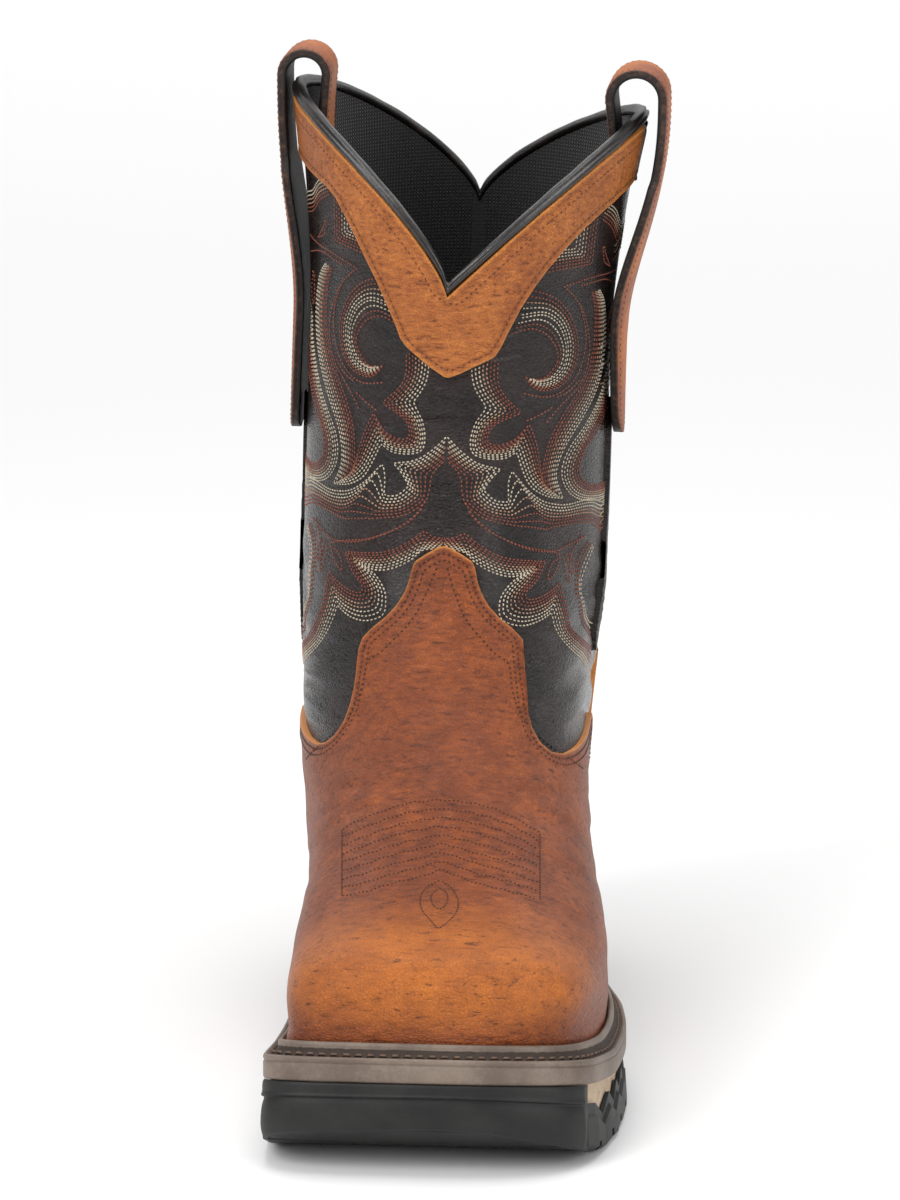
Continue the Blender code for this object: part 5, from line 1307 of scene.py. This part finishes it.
for side, name in ((-1, "medial"), (1, "lateral")):
    stations, arch_z, peak = strap_route(side)
    profile = strap_section(40)
    columns = np.linspace(-1, 1, STRAP_STEPS + 1)
    spots = np.array([[strap_middle(side, s, arch_z, peak, k) for k in columns] for s in stations])
    along = unit(np.gradient(spots, axis=0))
    wide = unit(np.gradient(spots, axis=1))
    outs = unit(np.cross(along, wide)) * side
    if outs[3, 4, 0] * side < 0:
        outs = -outs
    if np.mean(outs[-8:, 4, 0]) * side < 0:
        outs = -outs

    def strap_face(across, up, spots=spots, outs=outs):
        """The strap's two plies, round their cross-section at each station."""
        station = np.rint(across * (len(stations) - 1)).astype(int)
        angle_at = np.rint(up * len(profile)).astype(int) % len(profile)
        k = np.array([p[0] for p in profile])[angle_at]
        lift = np.array([p[1] for p in profile])[angle_at]
        out = unit(across_strap(outs, station, k))
        points = across_strap(spots, station, k) + out * (STRAP_HALF_THICK * lift)[:, None]
        return points, {"strap": np.stack([k, lift], 1)}

    strap = grid_sheet(f"pull_strap_{name}_leather", len(stations) - 1, len(profile), strap_face)
    join_up(strap, 0.00001, ends=True)
    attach(strap, "root")
    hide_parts(f"pull_strap_{name}")
    two_ply.wear(strap)
    strap_stitches = []
    for k in (-STRAP_ROW, STRAP_ROW):
        line = across_strap(spots, slice(-3), k)
        out = unit(across_strap(outs, slice(-3), k))
        strap_stitches += stitches_along(line + out * (STRAP_HALF_THICK - 0.00010), out, STRAP_PITCH)
    sewn(f"pull_strap_{name}_stitching", strap_stitches, (0.070, 0.022, 0.011), 0.00036, 0.66)

# ---------------------------------------------------------------------------------------------
# Insole: a thin cushioned footbed, covered in the same black cloth as the lining. It is dropped in
# loose and lies on the board under the welt.
# ---------------------------------------------------------------------------------------------
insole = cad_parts["insole"]
black_cloth.wear(insole)

# ---------------------------------------------------------------------------------------------
# Welt: a grey-brown rubber strip with a smooth storm rib against the upper, a rough groove lockstitched
# with thick dark thread, and a rounded lip. The board under it is one with it.
# ---------------------------------------------------------------------------------------------
WELT_THICKNESS = 0.0113
# The rows of the welt's section that make the floor of its groove
GROOVE_ROWS = (17, 18, 19)
# The level way inwards at the outline leads to a second outline, this far inside it
INWARDS = WELT_WIDTH + 0.008
SEATS = np.array([(y, seat_height(y)) for y in np.linspace(TOE_Y, -TOE_Y, 400)])


def seats_at(y):
    """Heights of the upper's lower edge at an array of places along the boot."""
    return np.interp(y, SEATS[:, 0], SEATS[:, 1])


def round_the_sole(steps):
    """Sides and distances from the toe tip, all round the sole, closer together round the ends."""
    spots = {}
    for side in (-1, 1):
        length, squareness = TOE_CAPS[side]
        toe = [cap_distance(s, length, squareness) for s in np.linspace(0, 1, steps)]
        heel = [SOLE_LENGTH - cap_distance(s, HEEL_CAP, HEEL_SQUARENESS) for s in np.linspace(1, 0, steps)]
        middle = list(np.linspace(toe[-1], heel[0], 5 * steps)[1:-1])
        spots[side] = toe + middle + heel
    return [(-1, d) for d in spots[-1]] + [(1, d) for d in reversed(spots[1][1:-1])]


def welt_places(steps):
    """Places round the sole's outline, the level way inwards, and the room to the upper, in the boot's frame."""
    tree = tree_of(vamp, bpy.data.objects["counter_medial"], bpy.data.objects["counter_lateral"], shaft)
    rows = []
    for side, distance in round_the_sole(steps):
        edge = np.array(sole_edge(side, distance))
        inward = np.array(sole_edge(side, distance, INWARDS)) - edge
        inward = inward / np.linalg.norm(inward)
        room = WELT_WIDTH
        for up in (0.0006, 0.0018):
            start = Vector((edge[0] + FOOT_LINE, edge[1], seat_height(edge[1]) + up))
            hit = tree.ray_cast(start, Vector((*inward, 0)), 0.03)
            room = min(room, hit[3]) if hit[0] else room
        rows.append((edge[0] + FOOT_LINE, edge[1], inward[0], inward[1], room))
    rows = np.array(rows)
    room = rows[:, 4]
    room = np.min([np.roll(room, k) for k in range(-2, 3)], axis=0)
    rows[:, 4] = np.mean([np.roll(room, k) for k in range(-4, 5)], axis=0)
    return rows


OUTLINE = welt_places(44)
# The welt's section from under the board, up the lip, over the groove and the rib: inwards and up from the
# upper's lower edge in millimetres, and whether it is measured from the sole's edge (0) or the upper (1)
WELT_PROFILE = (
    (8.8, -11.3, 0), (1.2, -11.3, 0), (0.5, -11.1, 0), (0.1, -10.6, 0), (0.0, -9.8, 0), (0.0, -5.6, 0),
    (0.25, -5.2, 0), (0.55, -5.0, 0), (0.25, -4.75, 0), (0.0, -4.3, 0), (0.05, -3.6, 0), (0.35, -3.1, 0),
    (0.9, -2.85, 0), (1.5, -2.95, 0), (1.9, -3.15, 0), (2.1, -3.4, 0), (2.5, -3.3, 0), (-3.4, -2.1, 1),
    (-2.7, -1.5, 1), (-2.45, -0.2, 1), (-2.4, 0.6, 1), (-2.2, 1.3, 1), (-1.7, 1.85, 1), (-1.1, 2.0, 1),
    (-0.5, 1.75, 1), (0.0, 1.1, 1), (-0.2, -1.0, 1), (3.0, -1.0, 1),
)


def welt_face(across, up):
    """The welt all round the sole, with a rough floor in its groove."""
    at = np.rint(across * len(OUTLINE)).astype(int) % len(OUTLINE)
    k = np.rint(up * (len(WELT_PROFILE) - 1)).astype(int)
    profile = np.array(WELT_PROFILE)[k]
    spot = OUTLINE[at]
    off = profile[:, 0] / 1000 + profile[:, 2] * (spot[:, 4] - 0.0003)
    x, y = spot[:, 0] + spot[:, 2] * off, spot[:, 1] + spot[:, 3] * off
    rough = np.isin(k, GROOVE_ROWS) * 0.00018 * np.sin(at * 2.7 + k * 1.9) * np.sin(at * 1.13)
    points = np.stack([x, y, seats_at(y) + profile[:, 1] / 1000 + rough], 1)
    return points, {"welt": np.stack([across, k / len(WELT_PROFILE)], 1)}


welt = grid_sheet("storm_welt", len(OUTLINE), len(WELT_PROFILE) - 1, welt_face)
join_up(welt, 0.00001)
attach(welt, "root")
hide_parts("welt")

taupe_rubber = Finish("taupe_welt_rubber")
place = taupe_rubber.spot()
band = taupe_rubber.axes(taupe_rubber.pattern("welt"))[1]
cloud = taupe_rubber.noise(place, 60.0, 4.0)
speck = taupe_rubber.noise(place, 900.0, 3.0, 0.6)
groove = band.ramp(0.535, 0.560) * (1 - band.ramp(0.672, 0.692))
colour = taupe_rubber.mix((0.115, 0.082, 0.062), (0.205, 0.155, 0.120), (cloud * 0.8 + speck * 0.3).ramp(0.4, 0.75))
# Painted shade: the floor of the groove is darkened almost to black
colour = taupe_rubber.mix(colour, (0.028, 0.016, 0.011), groove * 0.92)
roughness = speck * 0.4 + groove * taupe_rubber.noise(place, 480.0, 4.0) * 3.0
taupe_rubber.dress(
    welt, Base_Color=colour, Roughness=0.44 + speck * 0.12 + groove * 0.3,
    Normal=taupe_rubber.bump(roughness, 0.0004, 0.6))

# The lockstitches lie along the middle of the groove, sunk below the lip
LOCK_PITCH, LOCK_SUNK = 0.0040, 0.0027
off = 0.0024 + (OUTLINE[:, 4] - 0.0060) * 0.45
lock = np.stack([OUTLINE[:, 0] + OUTLINE[:, 2] * off, OUTLINE[:, 1] + OUTLINE[:, 3] * off,
                 seats_at(OUTLINE[:, 1]) - LOCK_SUNK], 1)
lock = np.vstack([lock, lock[:1]])
upward = np.tile([0.0, 0.0, 1.0], (len(lock), 1))
sewn("welt_stitching", stitches_along(lock, upward, LOCK_PITCH), (0.135, 0.080, 0.052), 0.0011, 0.80)

# ---------------------------------------------------------------------------------------------
# Midsole: a thick layer of firm cream foam, lightly pebbled. It is cemented between the welt and the
# outsole and shows above the outsole's teeth.
# ---------------------------------------------------------------------------------------------
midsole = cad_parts["midsole"]
cream_foam = Finish("cream_midsole_foam")
place = cream_foam.spot()
cloud = cream_foam.noise(place, 50.0, 4.0)
beads = cream_foam.cells(place, 900.0, "SMOOTH_F1")
dirt = cream_foam.noise(place, 130.0, 5.0, 0.7)
colour = cream_foam.mix((0.36, 0.25, 0.155), (0.55, 0.43, 0.30), cloud.ramp(0.3, 0.7))
colour = cream_foam.mix(colour, (0.12, 0.085, 0.06), (1 - dirt.ramp(0.30, 0.46)) * 0.6)
cream_foam.dress(
    midsole, Base_Color=colour, Roughness=0.55 + dirt * 0.2, Normal=cream_foam.bump(beads + dirt, 0.0004, 0.5))

# ---------------------------------------------------------------------------------------------
# Outsole: moulded black rubber, cupped round the midsole, with a toe bumper, toothed side walls and
# chevron lugs. Its corners are slightly rounded from the mould, and its wall is dusty.
# ---------------------------------------------------------------------------------------------
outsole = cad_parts["outsole"]
weld = outsole.modifiers.new("joined", "WELD")
weld.merge_threshold = 0.00001
rounding = outsole.modifiers.new("mould_radius", "BEVEL")
rounding.width = 0.0006
rounding.segments = 2
rounding.limit_method = "ANGLE"
rounding.angle_limit = math.radians(32)
black_rubber = Finish("black_outsole_rubber", Specular_IOR_Level=0.36)
place = black_rubber.spot()
cloud = black_rubber.noise(place, 45.0, 5.0, 0.6)
speck = black_rubber.noise(place, 1100.0, 3.0)
dust = black_rubber.noise(black_rubber.scaled(place, (1.0, 1.0, 2.2)), 160.0, 5.0, 0.7)
colour = black_rubber.mix((0.0060, 0.0060, 0.0058), (0.017, 0.017, 0.016), cloud.ramp(0.35, 0.7))
colour = black_rubber.mix(colour, (0.070, 0.064, 0.056), dust.ramp(0.58, 0.82) * 0.25)
black_rubber.dress(
    outsole, Base_Color=colour, Roughness=0.42 + cloud * 0.22 + dust.ramp(0.5, 0.8) * 0.15,
    Normal=black_rubber.bump(speck * 0.35 + dust * 0.3, 0.0004, 0.6))

# The toe bumper is part of the same moulding: a flat upper band with a rolled lip, a sharp step under it
# and a full, rounded face that flares at both ends. Its section from the welt down to the tread: how far
# inside the sole's edge in millimetres, and the share of the way down.
BUMPER_REACH = {-1: 0.0150, 1: 0.0205}
BUMPER_LIFT, BUMPER_SPRING = 0.0155, 0.135 * SOLE_LENGTH
FLARE_MIDDLE, FLARE_OUT, FLARE_WIDTH = 0.004, 0.046, 0.010
BUMPER_PROFILE = (
    (0.6, 0.0), (-0.2, 0.015), (-0.5, 0.06), (-0.62, 0.12), (-0.60, 0.185), (-0.85, 0.225), (-1.15, 0.245),
    (-1.05, 0.27), (-0.2, 0.285), (0.15, 0.305), (-0.1, 0.335), (-0.55, 0.38), (-0.95, 0.46), (-1.25, 0.56),
    (-1.35, 0.66), (-1.2, 0.77), (-0.8, 0.86), (-0.2, 0.93), (0.6, 0.98), (1.9, 1.0),
)


def toe_round(count):
    """Places along the sole's outline from the inner side, round the toe tip, to the outer side."""
    spots = []
    for side, reach in BUMPER_REACH.items():
        length, squareness = TOE_CAPS[side]
        shares = np.linspace(0, 1, 400)
        run = cap_distance(shares, length, squareness)
        last = np.interp(reach, run, shares)
        places = [(side, float(np.interp(share, shares, run))) for share in np.linspace(0, last, count)]
        spots = places[::-1] + spots if side < 0 else spots + places[1:]
    return spots


bumper_spots = toe_round(70)
bumper_line = np.array([(*sole_edge(side, d), *sole_edge(side, d, INWARDS), side * d) for side, d in bumper_spots])


def bumper_face(across, up):
    """The bumper's face, which fades into the side walls at both ends."""
    at = np.rint(across * (len(bumper_spots) - 1)).astype(int)
    k = np.rint(up * (len(BUMPER_PROFILE) - 1)).astype(int)
    profile = np.array(BUMPER_PROFILE)[k]
    spot = bumper_line[at]
    inward = unit(spot[:, 2:4] - spot[:, 0:2])
    reach = spot[:, 4]
    fade = np.clip((BUMPER_REACH[-1] + reach) / 0.0025, 0, 1) * np.clip((BUMPER_REACH[1] - reach) / 0.0030, 0, 1)
    at_ends = np.exp(-((np.abs(spot[:, 0] - FLARE_MIDDLE) - FLARE_OUT) / FLARE_WIDTH) ** 2)
    flare = at_ends * np.clip(profile[:, 1] - 0.55, 0, 1) * 1.4
    top = seats_at(spot[:, 1]) - WELT_THICKNESS - 0.0001
    low = BUMPER_LIFT * np.clip(1 - (spot[:, 1] - TOE_Y) / BUMPER_SPRING, 0, 1) ** 1.9 - 0.0002
    low = low + 0.0005 * np.sin(spot[:, 0] * 95 + 0.6)
    off = (profile[:, 0] - flare) / 1000 * fade + 0.0006 * (1 - fade)
    x, y = spot[:, 0] + inward[:, 0] * off + FOOT_LINE, spot[:, 1] + inward[:, 1] * off
    return np.stack([x, y, top + (low - top) * profile[:, 1]], 1), {"bumper": np.stack([across, up], 1)}


bumper = grid_sheet("toe_bumper", len(bumper_spots) - 1, len(BUMPER_PROFILE) - 1, bumper_face)
bm = bmesh.new()
bm.from_mesh(bumper.data)
bmesh.ops.remove_doubles(bm, verts=bm.verts, dist=0.000005)
bmesh.ops.reverse_faces(bm, faces=bm.faces)
bm.to_mesh(bumper.data)
bm.free()
smoothing = bumper.modifiers.new("moulded", "SUBSURF")
smoothing.levels = smoothing.render_levels = 2
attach(bumper, "root")
black_rubber.wear(bumper)

# ---------------------------------------------------------------------------------------------
# Studio: a wide floor of pale paper, three large soft lights round the boot and one over the paper
# behind it, and a long lens a little above the toe and to the outer side.
# ---------------------------------------------------------------------------------------------
bm = bmesh.new()
bmesh.ops.create_grid(bm, x_segments=1, y_segments=1, size=6.0)
mesh = bpy.data.meshes.new("studio_floor")
bm.to_mesh(mesh)
bm.free()
floor = stood("studio_floor", mesh)
paper = Finish("pale_paper", Roughness=0.9)
paper.dress(floor, Base_Color=(0.86, 0.86, 0.86))

world = bpy.data.worlds.new("studio_air")
bpy.context.scene.world = world
world.use_nodes = True
world.node_tree.nodes["Background"].inputs["Color"].default_value = (1.0, 1.0, 1.0, 1.0)
world.node_tree.nodes["Background"].inputs["Strength"].default_value = 0.50


def soft_light(name, where, target, size, power):
    """A large soft lamp that points at a place."""
    lamp = bpy.data.lights.new(name, "AREA")
    lamp.shape = "RECTANGLE"
    lamp.size, lamp.size_y = size
    lamp.energy = power
    light = stood(name, lamp)
    light.location = where
    light.rotation_euler = (Vector(target) - Vector(where)).to_track_quat("-Z", "Y").to_euler()


soft_light("key_light", (-0.75, -1.10, 1.05), (0, 0, 0.13), (0.7, 0.9), 13.0)
soft_light("fill_light", (1.10, -1.00, 0.65), (0, 0, 0.13), (0.6, 0.9), 8.0)
soft_light("backdrop_light", (0.0, 3.40, 2.20), (0, 3.4, 0.0), (7.0, 4.0), 95.0)
soft_light("top_light", (0.0, -0.10, 1.40), (0, 0, 0.10), (0.8, 0.8), 9.0)

# A metre at the boot's middle takes this many pixels of the picture
METRE_IN_PIXELS, PICTURE_HEIGHT = 2930, 1200
lens = bpy.data.cameras.new("long_lens")
lens.sensor_fit = "VERTICAL"
lens.sensor_height = 36.0
lens.sensor_width = 27.0
lens.lens = METRE_IN_PIXELS * VIEW_DISTANCE * lens.sensor_height / PICTURE_HEIGHT
camera = stood("long_lens", lens)
camera.location = TARGET + VIEW_WAY * VIEW_DISTANCE
camera.rotation_euler = (-VIEW_WAY).to_track_quat("-Z", "Y").to_euler()
bpy.context.scene.camera = camera
bpy.context.scene.view_settings.view_transform = "Standard"
